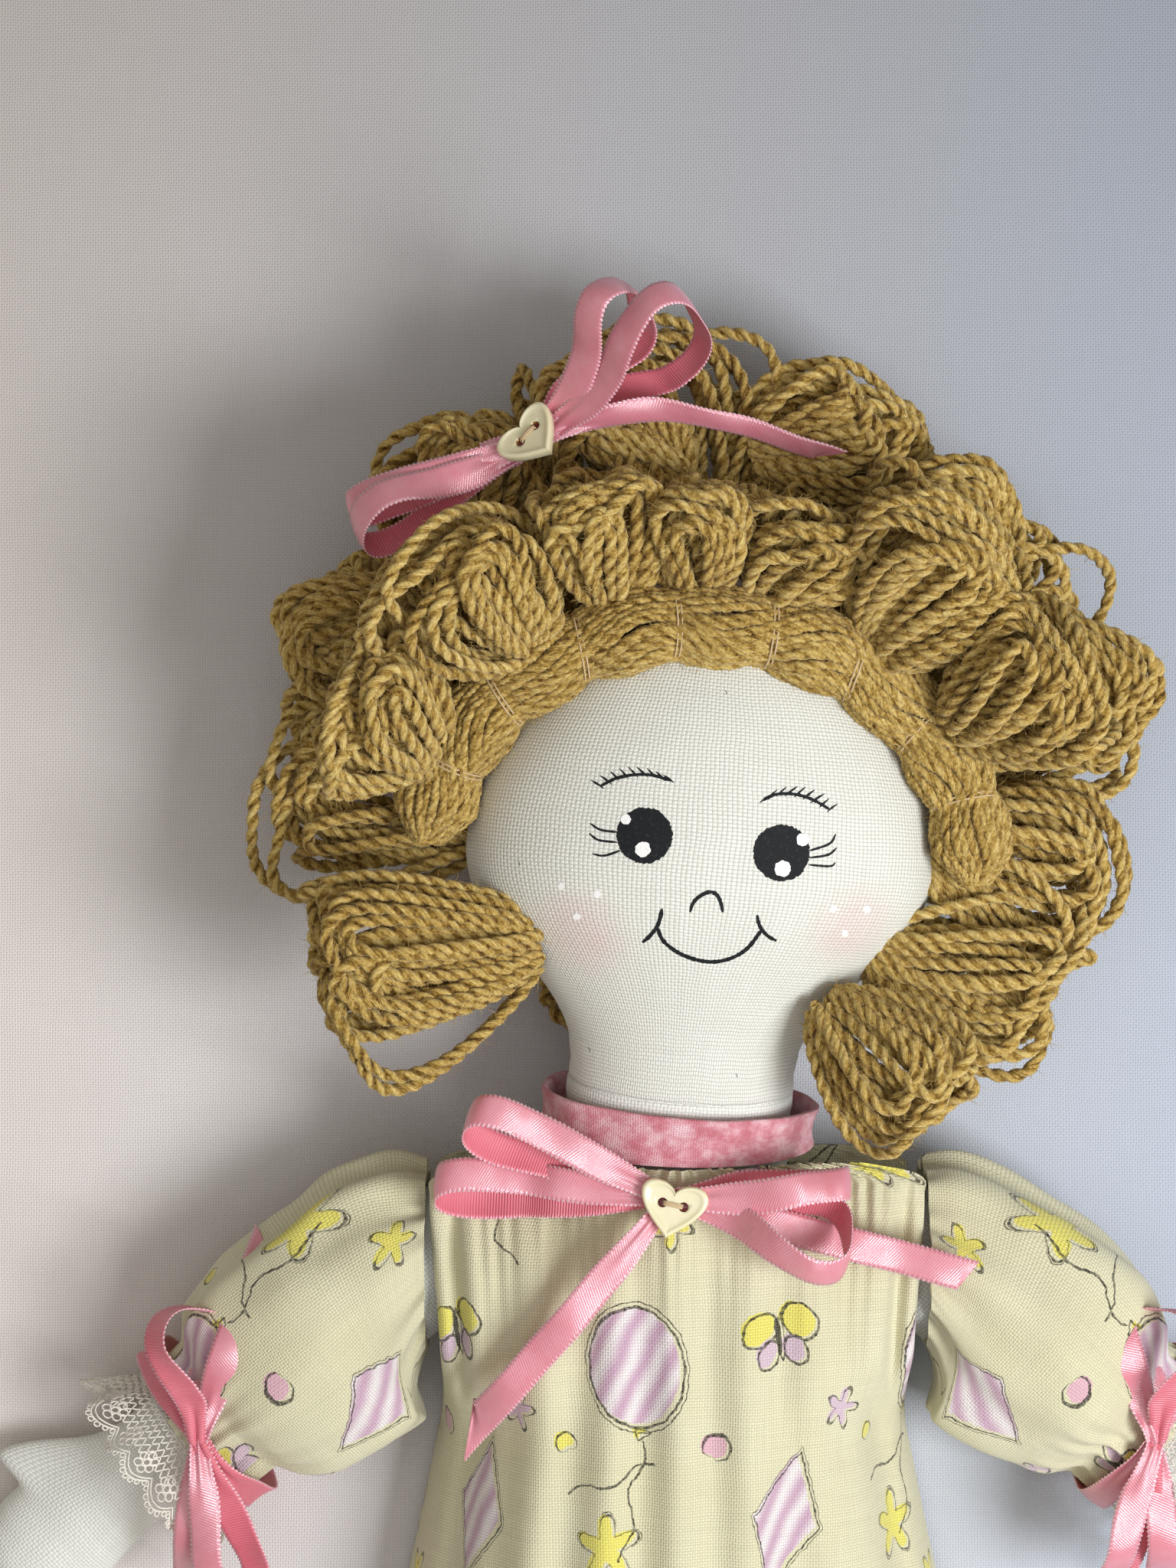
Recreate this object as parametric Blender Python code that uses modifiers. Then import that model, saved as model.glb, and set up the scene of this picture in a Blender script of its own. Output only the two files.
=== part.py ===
"""A stuffed cotton rag doll with yarn curls, lying on its back.

Metres. +Z goes up from the surface that the doll lies on, out through its face, and +Y goes to the top
of its head. The origin is on that surface, under the middle of the body. Left and right are as seen
from the front, so +X is right.
"""

import math

import bmesh
import bpy
from mathutils import Matrix, Vector

# Clearances and cloth
SEAT_GAP = 0.0003  # between two pieces that touch
CLOTH = 0.0011  # cloth with its turned seams
LACE = 0.0009
PRESSED_FLAT = 0.0005  # how far a stuffed form is flattened where it lies
UNDER_CLOTH = 0.0034  # height of the body above the surface, with its clothes under it

# Torso: the stuffed body
TORSO_LENGTH = 0.128
TORSO_WIDTH = 0.078
TORSO_DEPTH = 0.046
TORSO_BELOW_ORIGIN_share = 0.55
TORSO_ALONG_shares = (0.0, 0.03, 0.1, 0.3, 0.52, 0.72, 0.88, 0.95, 1.0)
TORSO_WIDTH_shares = (0.3, 0.62, 0.9, 1.0, 0.95, 0.93, 0.9, 0.8, 0.66)
TORSO_DEPTH_shares = (0.24, 0.5, 0.82, 1.0, 1.0, 0.96, 0.88, 0.8, 0.72)

# Neck: the torso's stuffed stub, which the head is sewn to
NECK_LENGTH = 0.0220
NECK_WIDTH = 0.0500
NECK_DEPTH = 0.036
NECK_PIVOT_share = 0.5  # of the neck's length
NECK_CLIMB_share = 0.42  # of the neck's length, how much nearer the front its upper end is
NECK_LEAN = math.radians(10)  # how far its seam and the collar lean back

# Head: two cotton faces sewn round the edge and stuffed, with its own neck drawn in below
HEAD_LENGTH = 0.112
HEAD_WIDTH = 0.1024
HEAD_DEPTH = 0.066
HEAD_ALONG_shares = (0.0, 0.06, 0.11, 0.17, 0.25, 0.33, 0.44, 0.56, 0.68, 0.8, 0.9, 0.97, 1.0)
HEAD_WIDTH_shares = (0.485, 0.49, 0.52, 0.61, 0.775, 0.925, 1.0, 0.975, 0.88, 0.715, 0.52, 0.3, 0.1)
HEAD_DEPTH_shares = (0.56, 0.565, 0.6, 0.68, 0.8, 0.91, 0.98, 1.0, 0.96, 0.84, 0.65, 0.39, 0.13)
HEAD_CENTRE_share = 0.44  # along the head, where the curls fan out from
HEAD_TILT = math.radians(-4.5)
HAIR_UNDER_HEAD = 0.010  # how high the hair holds the head

# Arms
ARM_LENGTH = 0.146
ARM_RADIUS = 0.0138
ARM_DROOP = math.radians(37)
ARM_ALONG_shares = (0.0, 0.02, 0.055, 0.1, 0.2, 0.4, 0.6, 0.74, 0.8, 0.86, 0.93, 0.98, 1.0)
ARM_WIDTH_shares = (0.2, 0.59, 0.89, 1.0, 1.0, 0.97, 0.9, 0.82, 0.9, 1.02, 0.95, 0.66, 0.25)
ARM_DEPTH_shares = (0.2, 0.59, 0.89, 1.0, 1.0, 0.97, 0.88, 0.72, 0.68, 0.66, 0.6, 0.42, 0.16)
ARM_LIES_shares = (0.35, 0.88)  # along the arm, from where it comes down and from where it lies
ARM_TOP_share = 0.955  # of its radius, how near the torso its rounded top keeps its axis
THUMB_LENGTH = 0.009
THUMB_WIDTH_share = 0.62  # of the thumb's root, at its tip
SHOULDER_ALONG_TORSO_share = 0.895

# Legs and shoes
LEG_LENGTH = 0.150
LEG_RADIUS = 0.0165
LEG_SPREAD = math.radians(8)
LEG_ALONG_shares = (0.0, 0.025, 0.06, 0.11, 0.22, 0.45, 0.7, 0.9, 1.0)
LEG_SIZE_shares = (0.2, 0.58, 0.85, 1.0, 1.0, 0.92, 0.84, 0.78, 0.76)
LEG_LIES_shares = (0.33, 0.66)  # along the leg, from where it comes down and from where it lies
HIP_WIDTH_share = 0.56  # between the hips, of the torso's width
SHOE_LENGTH = 0.046
SHOE_HEIGHT = 0.040
SHOE_WIDTH = 0.031
SHOE_TURN_OUT = math.radians(14)
SHOE_DOWN_shares = (0.0, 0.18, 0.38, 0.55, 0.72, 0.88, 0.97, 1.0)
SHOE_TOE_shares = (0.0, 0.02, 0.12, 0.5, 0.86, 1.0, 0.96, 0.82)
SHOE_WIDTH_shares = (0.0, 0.1, 0.3, 0.66, 0.92, 1.0, 0.94, 0.78)
HEEL_CROWN_share = 0.12

# Collar: a pink cotton band that stands round the neck
COLLAR_HEIGHT = 0.0105
COLLAR_STAND = 0.0042  # from the neck to the middle of the collar's cloth
COLLAR_FLARE = 0.0010
COLLAR_LIFT = 0.0098  # above the torso's top edge

# Dress: printed cotton, gathered into the collar, with a front and a back panel
DRESS_LENGTH = 0.172
DRESS_ABOVE_TORSO = 0.0051
DRESS_TOP_WIDTH = 0.070
DRESS_ARMHOLE_WIDTH = 0.109
DRESS_CHEST_WIDTH = 0.116
DRESS_HEM_WIDTH = 0.158
DRESS_LOFT = 0.0035  # air between the body and the front panel
DRESS_HEM_HEIGHT = 0.050
ARMHOLE_DEPTH = 0.046
ARMHOLE_EDGE_HEIGHT = 0.0425
FOLD_DEPTH_AT_HEM = 0.0042
FOLD_DEPTH_AT_TOP = 0.0012
FRONT_FOLDS = 7
PLEAT_DEPTH = 0.005
PLEAT_PLACE_share = 0.84
PLEAT_WIDTH_share = 0.07

# Sleeves: puffed, gathered on a ribbon at the cuff
SLEEVE_LENGTH = 0.066
SLEEVE_WIDTH = 0.056
SLEEVE_DEPTH = 0.043
SLEEVE_ALONG_shares = (0.0, 0.1, 0.25, 0.45, 0.62, 0.76, 0.85, 1.0)
SLEEVE_WIDTH_shares = (0.88, 0.93, 0.98, 1.0, 0.96, 0.82, 0.59, 0.59)
SLEEVE_DEPTH_shares = (0.88, 0.93, 0.98, 1.0, 0.98, 0.9, 0.775, 0.775)
SLEEVE_LIFT = 0.002  # how far its puff rises past the arm at the shoulder
SLEEVE_SINK_share = 0.94  # of its half depth, the least height of its middle: it lies flat below
SLEEVE_FOLDS = 8
SLEEVE_FOLD_DEPTH = 0.0014
CUFF_EASE = 0.0010  # between arm and cuff

# Lace frills
CUFF_LACE_LENGTH = 0.015
CUFF_LACE_FLARE = 0.0075
CUFF_LACE_FRILLS = 10
HEM_LACE_WIDTH = 0.015
LACE_WAVE = 0.0014

# Bloomers: two halves of the dress's cotton, sewn together at the middle
BLOOMER_LEG_LENGTH = 0.054
BLOOMER_WAIST = 0.046  # from the torso's lower end up to the waist
BLOOMER_OVERLAP = 0.009  # how far the top of a leg runs up into the seat
BLOOMER_EASE = 0.0006  # between the body and the cloth
BLOOMER_PUFF = 0.0042
BLOOMER_ALONG_shares = (0.0, 0.16, 0.34, 0.54, 0.72, 0.86, 0.93, 1.0)
BLOOMER_PUFF_shares = (0.0, 0.1, 0.6, 1.0, 0.9, 0.3, 0.2, 0.6)

# Satin ribbon
RIBBON_WIDTH = 0.0070
RIBBON = 0.0005
RIBBON_LAYER = 0.0009  # from one pass of ribbon to the next at a bow's knot
KNOT_PINCH_share = 0.55
KNOT_REACH_share = 0.4  # of a loop's length, how far the knot holds its passes together
LOOP_shares = (0.0, 0.3, 0.55, 0.8)  # of a loop's length, where it is shaped before its end
TAIL_HELD_UP = 0.017  # from the knot, how far the last tail stays above the loops
NECK_KNOT_X = -0.0018
NECK_KNOT_PAST_TORSO = -0.0004  # towards the head, from the torso's top
COLLAR_SPAN_share = 0.4  # of the neck's width, either side of the middle, where ribbon lies on the collar
NECK_LOOP_SPREAD = 0.0016  # how much further apart two passes are at a loop's end
# Loops in the order of winding, left then right: (degrees, length). Then the first and last tails
NECK_LOOP_LENGTHS = ((176, 0.0500), (-15, 0.0390), (157, 0.0460), (7, 0.0420))
NECK_TAIL_LENGTHS = ((-15, 0.0680), (230, 0.0740))
# Cuff bows, on the left arm: (degrees, length). The right arm's are their mirror image
CUFF_LOOP_LENGTHS = ((290, 0.0320), (98, 0.0290))
CUFF_TAIL_LENGTHS = ((250, 0.0370), (72, 0.0470))
CUFF_LAYERS_ROUND = 2  # how many layers up the ribbon is after going round the cuff
CUFF_LOOP_SPREAD = 0.0022
CUFF_BOW_DROOP_RADIUS = 0.040
HAIR_LOOP_SPREAD = 0.0030
HAIR_LOOP_LENGTHS = ((54, 0.0420), (216, 0.0440), (25, 0.0440), (208, 0.0450))
HAIR_TAIL_LENGTHS = ((194, 0.0300), (-1, 0.0720))
HAIR_KNOT_LEFT = 0.0429  # from the head's centre
HAIR_KNOT_UP = 0.0869
HAIR_KNOT_HEIGHT = 0.0126  # nearer the front than the head's centre
HAIR_BUTTON_TURN = math.radians(53)
HAIR_BUTTON_LEAN = math.radians(-33)

# Heart-shaped buttons
BUTTON_WIDTH = 0.0145
BUTTON_THICKNESS = 0.0026
BUTTON_HOLE = 0.0021
BUTTON_HOLE_SPACING = 0.0046
BUTTON_RIM = 0.0006
NECK_BUTTON_TURN = math.radians(-13)
THREAD = 0.0009

# Hair: a stitched roll of yarn round the face, and looped hanks that fan out behind it
ROLL_WIDTH = 0.0160
ROLL_DEPTH = 0.0125
ROLL_OUTSIDE_HEAD = 0.0075  # from the head's edge to the roll's middle, at the cheeks
ROLL_TOP_share = 0.98  # of the head's half width, from its centre up to the roll
ROLL_ABOVE_MIDDLE = 0.0125  # nearer the front than the head's middle, at the cheeks
ROLL_RISE = 0.0150  # and as much more over the forehead
ROLL_LOBES = 9
ROLL_PINCH_share = 0.16
CURL_FLUTES = 6
CURL_FLUTE_share = 0.08
CURL_ALONG_shares = (0.0, 0.1, 0.28, 0.48, 0.68, 0.85, 0.95, 1.0)
CURL_SIZE_shares = (0.3, 0.85, 1.0, 1.0, 1.0, 0.93, 0.66, 0.25)
# Each curl: (name, degrees round the face from +X, degrees towards the front, half its width in degrees
# as seen from the head's centre, its depth as a share of its width, and from where to where it reaches,
# from the head's centre, as shares of the head's width)
CURL_shares = (
    ("lower_right", -42, 17, 11.2, 1.0, 0.36, 0.82),
    ("right_low", -19, 4, 11.5, 1.2, 0.36, 0.78),
    ("right", 5, -2, 12.0, 1.25, 0.36, 0.90),
    ("right_high", 30, -8, 12.6, 1.25, 0.36, 1.07),
    ("top_right", 55, -8, 12.2, 1.28, 0.36, 1.02),
    ("top", 79, -8, 11.8, 1.28, 0.36, 1.13),
    ("top_left", 103, -8, 12.0, 1.28, 0.36, 1.18),
    ("left_high", 127, -8, 11.8, 1.28, 0.36, 1.08),
    ("left", 150, -8, 11.2, 1.28, 0.36, 1.03),
    ("left_low", 173, -7, 11.6, 1.25, 0.36, 0.93),
    ("lower_left", 204, 14, 14.5, 1.0, 0.36, 0.84),
    ("temple_right", 33, 20, 10.6, 1.0, 0.60, 0.90),
    ("fringe_right", 56, 20, 11.6, 1.0, 0.58, 0.92),
    ("fringe_mid_right", 77, 20, 9.3, 1.1, 0.56, 0.78),
    ("fringe_mid", 95, 20, 8.4, 1.1, 0.56, 0.79),
    ("fringe_mid_left", 112, 20, 8.4, 1.1, 0.56, 0.84),
    ("fringe_left", 135, 19, 13.4, 1.0, 0.58, 0.90),
    ("temple_left", 161, 20, 11.2, 1.0, 0.62, 0.86),
)
BACK_CURL_WIDTH = 0.0275
BACK_CURL_RING_share = 0.285  # of the head's width, from the head's centre
BACK_CURLS_ROUND = 6
BACK_CURL_NAMES = ("right", "top_right", "top_left", "left", "low_left", "low_right")

# Colours, linear
COTTON = (0.78, 0.76, 0.70)
PRINTED_COTTON = (0.76, 0.70, 0.47)
PINK_COTTON = (0.72, 0.30, 0.34)
PINK_SATIN = (0.86, 0.22, 0.29)
YARN = (0.46, 0.29, 0.10)
WHITE_LACE = (0.74, 0.71, 0.64)
SHELL = (0.83, 0.79, 0.62)
THREAD_COLOUR = (0.70, 0.58, 0.40)

# Places that follow from the sizes
TORSO_BOTTOM = -TORSO_LENGTH * TORSO_BELOW_ORIGIN_share
TORSO_TOP = TORSO_BOTTOM + TORSO_LENGTH
TORSO_Z = UNDER_CLOTH + TORSO_DEPTH / 2
NECK_BOTTOM = TORSO_TOP + SEAT_GAP
NECK_TOP = NECK_BOTTOM + NECK_LENGTH
NECK_TOP_Z = TORSO_Z + NECK_LENGTH * NECK_CLIMB_share
HEAD_BOTTOM = NECK_TOP + SEAT_GAP
HEAD_Z = HAIR_UNDER_HEAD + HEAD_DEPTH / 2
HEAD_CENTRE = Vector((0, HEAD_BOTTOM + HEAD_LENGTH * HEAD_CENTRE_share, HEAD_Z))
HEAD_PIVOT = Vector((0, NECK_BOTTOM + NECK_LENGTH * NECK_PIVOT_share, NECK_TOP_Z))
DRESS_TOP = TORSO_TOP + DRESS_ABOVE_TORSO
BACK_PANEL_TOP = CLOTH + SEAT_GAP
ARM_Z_AT_SHOULDER = TORSO_Z
ARM_Z_AT_HAND = ARM_RADIUS * ARM_DEPTH_shares[9] - PRESSED_FLAT
SHOULDER_X = TORSO_WIDTH / 2 * TORSO_WIDTH_shares[6] + ARM_RADIUS * ARM_TOP_share + SEAT_GAP
SHOULDER_Y = TORSO_BOTTOM + TORSO_LENGTH * SHOULDER_ALONG_TORSO_share
HIP_X = TORSO_WIDTH / 2 * HIP_WIDTH_share
HIP_Y = TORSO_BOTTOM - LEG_RADIUS - SEAT_GAP
LEG_Z = UNDER_CLOTH + LEG_RADIUS

RIGHT, LEFT = 1, -1
SIDE_NAMES = ((RIGHT, "right"), (LEFT, "left"))
CIRCLE = 2 * math.pi


def clear_scene():
    for obj in list(bpy.data.objects):
        bpy.data.objects.remove(obj)


def collection(name):
    made = bpy.data.collections.new(name)
    bpy.context.scene.collection.children.link(made)
    return made


def material(name, colour, roughness):
    made = bpy.data.materials.new(name)
    made.use_nodes = True
    shader = made.node_tree.nodes["Principled BSDF"]
    shader.inputs["Base Color"].default_value = (*colour, 1)
    shader.inputs["Roughness"].default_value = roughness
    shader.inputs["Metallic"].default_value = 0
    return made


def blend(xs, ys, x):
    """The smooth curve through (xs, ys), read at x: a cubic between points, with no overshoot."""
    if x <= xs[0]:
        return ys[0]
    for i in range(len(xs) - 1):
        if x <= xs[i + 1]:
            step = xs[i + 1] - xs[i]
            t = (x - xs[i]) / step
            rise = ys[i + 1] - ys[i]
            before = (ys[i] - ys[i - 1]) / (xs[i] - xs[i - 1]) * step if i > 0 else rise
            after = (
                (ys[i + 2] - ys[i + 1]) / (xs[i + 2] - xs[i + 1]) * step
                if i + 2 < len(xs)
                else rise
            )
            start = 0 if before * rise <= 0 else (before + rise) / 2
            end = 0 if after * rise <= 0 else (after + rise) / 2
            return (
                ys[i] * (1 + 2 * t) * (1 - t) ** 2
                + start * t * (1 - t) ** 2
                + ys[i + 1] * t * t * (3 - 2 * t)
                - end * t * t * (1 - t)
            )
    return ys[-1]


def smooth_step(t):
    t = min(1, max(0, t))
    return t * t * (3 - 2 * t)


def ring(centre, across, up, half_width, half_depth, sides, wave=None):
    """One section of a loft: an ellipse, with an optional wave(angle) that scales it."""
    points = []
    for k in range(sides):
        angle = CIRCLE * k / sides
        scale = wave(angle) if wave else 1
        points.append(
            centre
            + across * (half_width * scale * math.cos(angle))
            + up * (half_depth * scale * math.sin(angle))
        )
    return points


def above_floor(points, floor=0):
    """The same points, flattened where they would go below the surface that the doll lies on."""
    return [Vector((p.x, p.y, max(p.z, floor))) for p in points]


def add_object(name, mesh_data, look, parts):
    obj = bpy.data.objects.new(name, mesh_data)
    parts.objects.link(obj)
    mesh_data.materials.append(look)
    for face in mesh_data.polygons:
        face.use_smooth = True
    return obj


def loft(name, rings, look, parts, closed=True, first_tip=None, last_tip=None):
    """A skin through rings of points. Closed, its ends are capped or drawn to a tip."""
    bm = bmesh.new()
    rows = [[bm.verts.new(p) for p in points] for points in rings]
    count = len(rows[0])
    for low, high in zip(rows, rows[1:]):
        for k in range(count):
            n = (k + 1) % count
            bm.faces.new((low[k], low[n], high[n], high[k]))
    if closed:
        for row, tip in ((rows[0], first_tip), (rows[-1], last_tip)):
            if tip is None:
                bm.faces.new(row)
                continue
            point = bm.verts.new(tip)
            for k in range(count):
                bm.faces.new((row[k], row[(k + 1) % count], point))
    bmesh.ops.recalc_face_normals(bm, faces=bm.faces)
    mesh_data = bpy.data.meshes.new(name)
    bm.to_mesh(mesh_data)
    bm.free()
    return add_object(name, mesh_data, look, parts)


def sheet(name, rows, look, parts, thickness):
    """A cloth panel from rows of points, thickened downwards from its right side."""
    bm = bmesh.new()
    grid = [[bm.verts.new(p) for p in row] for row in rows]
    for low, high in zip(grid, grid[1:]):
        for k in range(len(low) - 1):
            bm.faces.new((low[k], low[k + 1], high[k + 1], high[k]))
    mesh_data = bpy.data.meshes.new(name)
    bm.to_mesh(mesh_data)
    bm.free()
    obj = add_object(name, mesh_data, look, parts)
    thicken(obj, thickness)
    return obj


def thicken(obj, thickness):
    shell = obj.modifiers.new("Cloth", "SOLIDIFY")
    shell.thickness = thickness
    shell.offset = 0
    return shell


def tube_shell(name, rings, look, parts, thickness):
    """An open-ended sleeve of cloth through rings of points."""
    obj = loft(name, rings, look, parts, closed=False)
    thicken(obj, thickness)
    return obj


def pivot_empty(name, place, tilt=0):
    empty = bpy.data.objects.new(name, None)
    bpy.context.scene.collection.objects.link(empty)
    empty.location = place
    empty.rotation_euler = (0, 0, tilt)
    return empty


def carry(empty, place, *objects):
    """Parents pieces, modelled where they stand untilted, to the empty on their joint's axis."""
    for obj in objects:
        obj.parent = empty
        obj.matrix_parent_inverse = Matrix.Translation(-Vector(place))


X, Y, Z = Vector((1, 0, 0)), Vector((0, 1, 0)), Vector((0, 0, 1))
BODY_SIDES = 20
LIMB_SIDES = 16


def torso_rings(swell, length):
    """Sections of the torso from its lower end up to length, made larger all round by swell."""
    stations = 14
    rings = []
    for i in range(stations + 1):
        t = min(i / stations, length / TORSO_LENGTH)
        half_width = TORSO_WIDTH / 2 * blend(TORSO_ALONG_shares, TORSO_WIDTH_shares, t) + swell
        half_depth = TORSO_DEPTH / 2 * blend(TORSO_ALONG_shares, TORSO_DEPTH_shares, t) + swell
        centre = Vector((0, TORSO_BOTTOM + TORSO_LENGTH * t, TORSO_Z))
        if i == 0:
            centre.y -= swell
        rings.append(ring(centre, X, Z, half_width, half_depth, BODY_SIDES))
        if t * TORSO_LENGTH >= length:
            break
    return rings


def torso(look, parts):
    return loft("torso", torso_rings(0, TORSO_LENGTH), look, parts)


def neck_frame(t):
    """Middle of the neck at share t of its length, and the directions across and up there.

    It climbs from the body to the raised head, and turns with the head's tilt."""
    middle = Vector((0, NECK_BOTTOM + NECK_LENGTH * t, TORSO_Z + (NECK_TOP_Z - TORSO_Z) * smooth_step(t)))
    turn = Matrix.Rotation(HEAD_TILT * smooth_step(t), 3, "Z")
    up = Matrix.Rotation(NECK_LEAN * smooth_step(t), 3, "X") @ Z
    return HEAD_PIVOT + turn @ (middle - HEAD_PIVOT), turn @ X, turn @ up


def neck(look, parts):
    rings = []
    stations = 5
    for i in range(stations + 1):
        middle, across, up = neck_frame(i / stations)
        rings.append(ring(middle, across, up, NECK_WIDTH / 2, NECK_DEPTH / 2, BODY_SIDES))
    return loft("neck", rings, look, parts)


def head_half_width(y):
    return HEAD_WIDTH / 2 * blend(HEAD_ALONG_shares, HEAD_WIDTH_shares, (y - HEAD_BOTTOM) / HEAD_LENGTH)


def head_half_depth(y):
    return HEAD_DEPTH / 2 * blend(HEAD_ALONG_shares, HEAD_DEPTH_shares, (y - HEAD_BOTTOM) / HEAD_LENGTH)


def head(name, swell, look, parts):
    """The stuffed head. swell makes it larger all round, for cutting what sits on it."""
    stations = 18
    rings = []
    for i in range(stations + 1):
        t = i / stations
        y = HEAD_BOTTOM + HEAD_LENGTH * t
        in_neck = 1 - smooth_step(t / HEAD_CENTRE_share)
        centre = Vector((0, y, HEAD_Z + (NECK_TOP_Z - HEAD_Z) * in_neck))
        up = Matrix.Rotation(NECK_LEAN * in_neck ** 3, 3, "X") @ Z
        half_width, half_depth = head_half_width(y) + swell, head_half_depth(y) + swell
        if i == stations:
            centre.y += swell
        rings.append(ring(centre, X, up, half_width, half_depth, BODY_SIDES))
    return loft(name, rings, look, parts)


def arm_middle(side, t):
    """Centre of the arm at share t of its length, from its rounded top to the hand."""
    reach = ARM_LENGTH * t - ARM_RADIUS * ARM_TOP_share
    leaves, lies = ARM_LIES_shares
    down = smooth_step((t - leaves) / (lies - leaves))
    height = ARM_Z_AT_SHOULDER + (ARM_Z_AT_HAND - ARM_Z_AT_SHOULDER) * down
    return Vector((
        side * (SHOULDER_X + reach * math.cos(ARM_DROOP)),
        SHOULDER_Y - reach * math.sin(ARM_DROOP),
        height,
    ))


def arm_directions(side):
    along = Vector((side * math.cos(ARM_DROOP), -math.sin(ARM_DROOP), 0))
    across = Vector((side * math.sin(ARM_DROOP), math.cos(ARM_DROOP), 0))
    return along, across


def arm(side, word, look, parts):
    """A stuffed arm with a flattened mitten hand, whose thumb is drawn out of one of its faces."""
    along, across = arm_directions(side)
    rings = []
    for t, wide, deep in zip(ARM_ALONG_shares, ARM_WIDTH_shares, ARM_DEPTH_shares):
        section = ring(arm_middle(side, t), across, Z, ARM_RADIUS * wide, ARM_RADIUS * deep, LIMB_SIDES)
        rings.append(above_floor(section))
    obj = loft("arm_" + word, rings, look, parts)
    wrist = arm_middle(side, ARM_ALONG_shares[8])
    palm = arm_middle(side, ARM_ALONG_shares[9])
    thumb_root = (wrist + palm) / 2 + across * ARM_RADIUS * ARM_WIDTH_shares[9]
    bm = bmesh.new()
    bm.from_mesh(obj.data)
    bm.faces.ensure_lookup_table()
    near = sorted(bm.faces, key=lambda f: (f.calc_center_median() - thumb_root).length)[:2]
    grown = bmesh.ops.extrude_face_region(bm, geom=near)
    tips = [v for v in grown["geom"] if isinstance(v, bmesh.types.BMVert)]
    middle = sum((v.co for v in tips), Vector()) / len(tips)
    for v in tips:
        v.co = middle + (v.co - middle) * THUMB_WIDTH_share + (across + along * 0.5) * THUMB_LENGTH
    bmesh.ops.delete(bm, geom=near, context="FACES")
    bmesh.ops.recalc_face_normals(bm, faces=bm.faces)
    bm.to_mesh(obj.data)
    bm.free()
    return obj


def leg_directions(side):
    along = Vector((side * math.sin(LEG_SPREAD), -math.cos(LEG_SPREAD), 0))
    across = Vector((side * math.cos(LEG_SPREAD), math.sin(LEG_SPREAD), 0))
    return along, across


def leg_radius(t):
    return LEG_RADIUS * blend(LEG_ALONG_shares, LEG_SIZE_shares, t)


def leg_middle(side, t):
    """Centre of the leg at share t of its length. It comes down from the clothes to the surface."""
    along, _ = leg_directions(side)
    leaves, lies = LEG_LIES_shares
    lying = leg_radius(max(t, lies)) - PRESSED_FLAT
    height = LEG_Z + (lying - LEG_Z) * smooth_step((t - leaves) / (lies - leaves))
    flat = Vector((side * HIP_X, HIP_Y, 0)) + along * (LEG_LENGTH * t - LEG_RADIUS)
    return Vector((flat.x, flat.y, height))


def leg(side, word, look, parts):
    _, across = leg_directions(side)
    rings = []
    for t in LEG_ALONG_shares:
        section = ring(leg_middle(side, t), across, Z, leg_radius(t), leg_radius(t), LIMB_SIDES)
        rings.append(above_floor(section))
    return loft("leg_" + word, rings, look, parts)


def shoe(side, word, look, parts):
    """A soft cotton shoe: sections stacked down the leg, each longer to the toe than the one above."""
    along, across = leg_directions(side)
    turn = Matrix.Rotation(side * SHOE_TURN_OUT, 3, along * -1)
    toe_way = turn @ Z
    wide_way = turn @ across
    ankle = leg_radius(1)
    top = leg_middle(side, 1) + along * SEAT_GAP
    rings = []
    for down, toe, wide in zip(SHOE_DOWN_shares, SHOE_TOE_shares, SHOE_WIDTH_shares):
        heel = ankle + HEEL_CROWN_share * ankle * wide
        front = ankle + (SHOE_LENGTH - 2 * ankle) * toe
        half_width = ankle + (SHOE_WIDTH / 2 - ankle) * wide
        middle = top + along * (SHOE_HEIGHT * down) + toe_way * (front - heel) / 2
        section = ring(middle, wide_way, toe_way, half_width, (front + heel) / 2, LIMB_SIDES)
        rings.append(above_floor(section))
    return loft("shoe_" + word, rings, look, parts)


def dress_half_width(t):
    """Half the dress's width at share t from neck to hem."""
    armhole = ARMHOLE_DEPTH / DRESS_LENGTH
    length_shares = (0.0, 0.05, armhole, 0.45, 1.0)
    widths = (DRESS_TOP_WIDTH, DRESS_ARMHOLE_WIDTH, DRESS_ARMHOLE_WIDTH, DRESS_CHEST_WIDTH, DRESS_HEM_WIDTH)
    return blend(length_shares, widths, t) / 2


def dress_crown(t):
    """Height of the middle of the front panel, between its folds, at share t from neck to hem."""
    over_body = TORSO_Z + TORSO_DEPTH / 2 + DRESS_LOFT
    at_collar = collar_height(0)
    crown = at_collar + (over_body - at_collar) * smooth_step(t * 4)
    return crown + (DRESS_HEM_HEIGHT - crown) * smooth_step(t * 1.6 - 0.6)


def collar_height(x):
    """Height of the front of the collar's lower edge, x from the middle."""
    middle, _, _ = neck_frame((COLLAR_LIFT - SEAT_GAP) / NECK_LENGTH)
    stand = COLLAR_STAND + COLLAR_FLARE
    inside = max(0, 1 - (x / (NECK_WIDTH / 2 + stand)) ** 2)
    return middle.z + (NECK_DEPTH / 2 + stand) * math.sqrt(inside)


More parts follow.
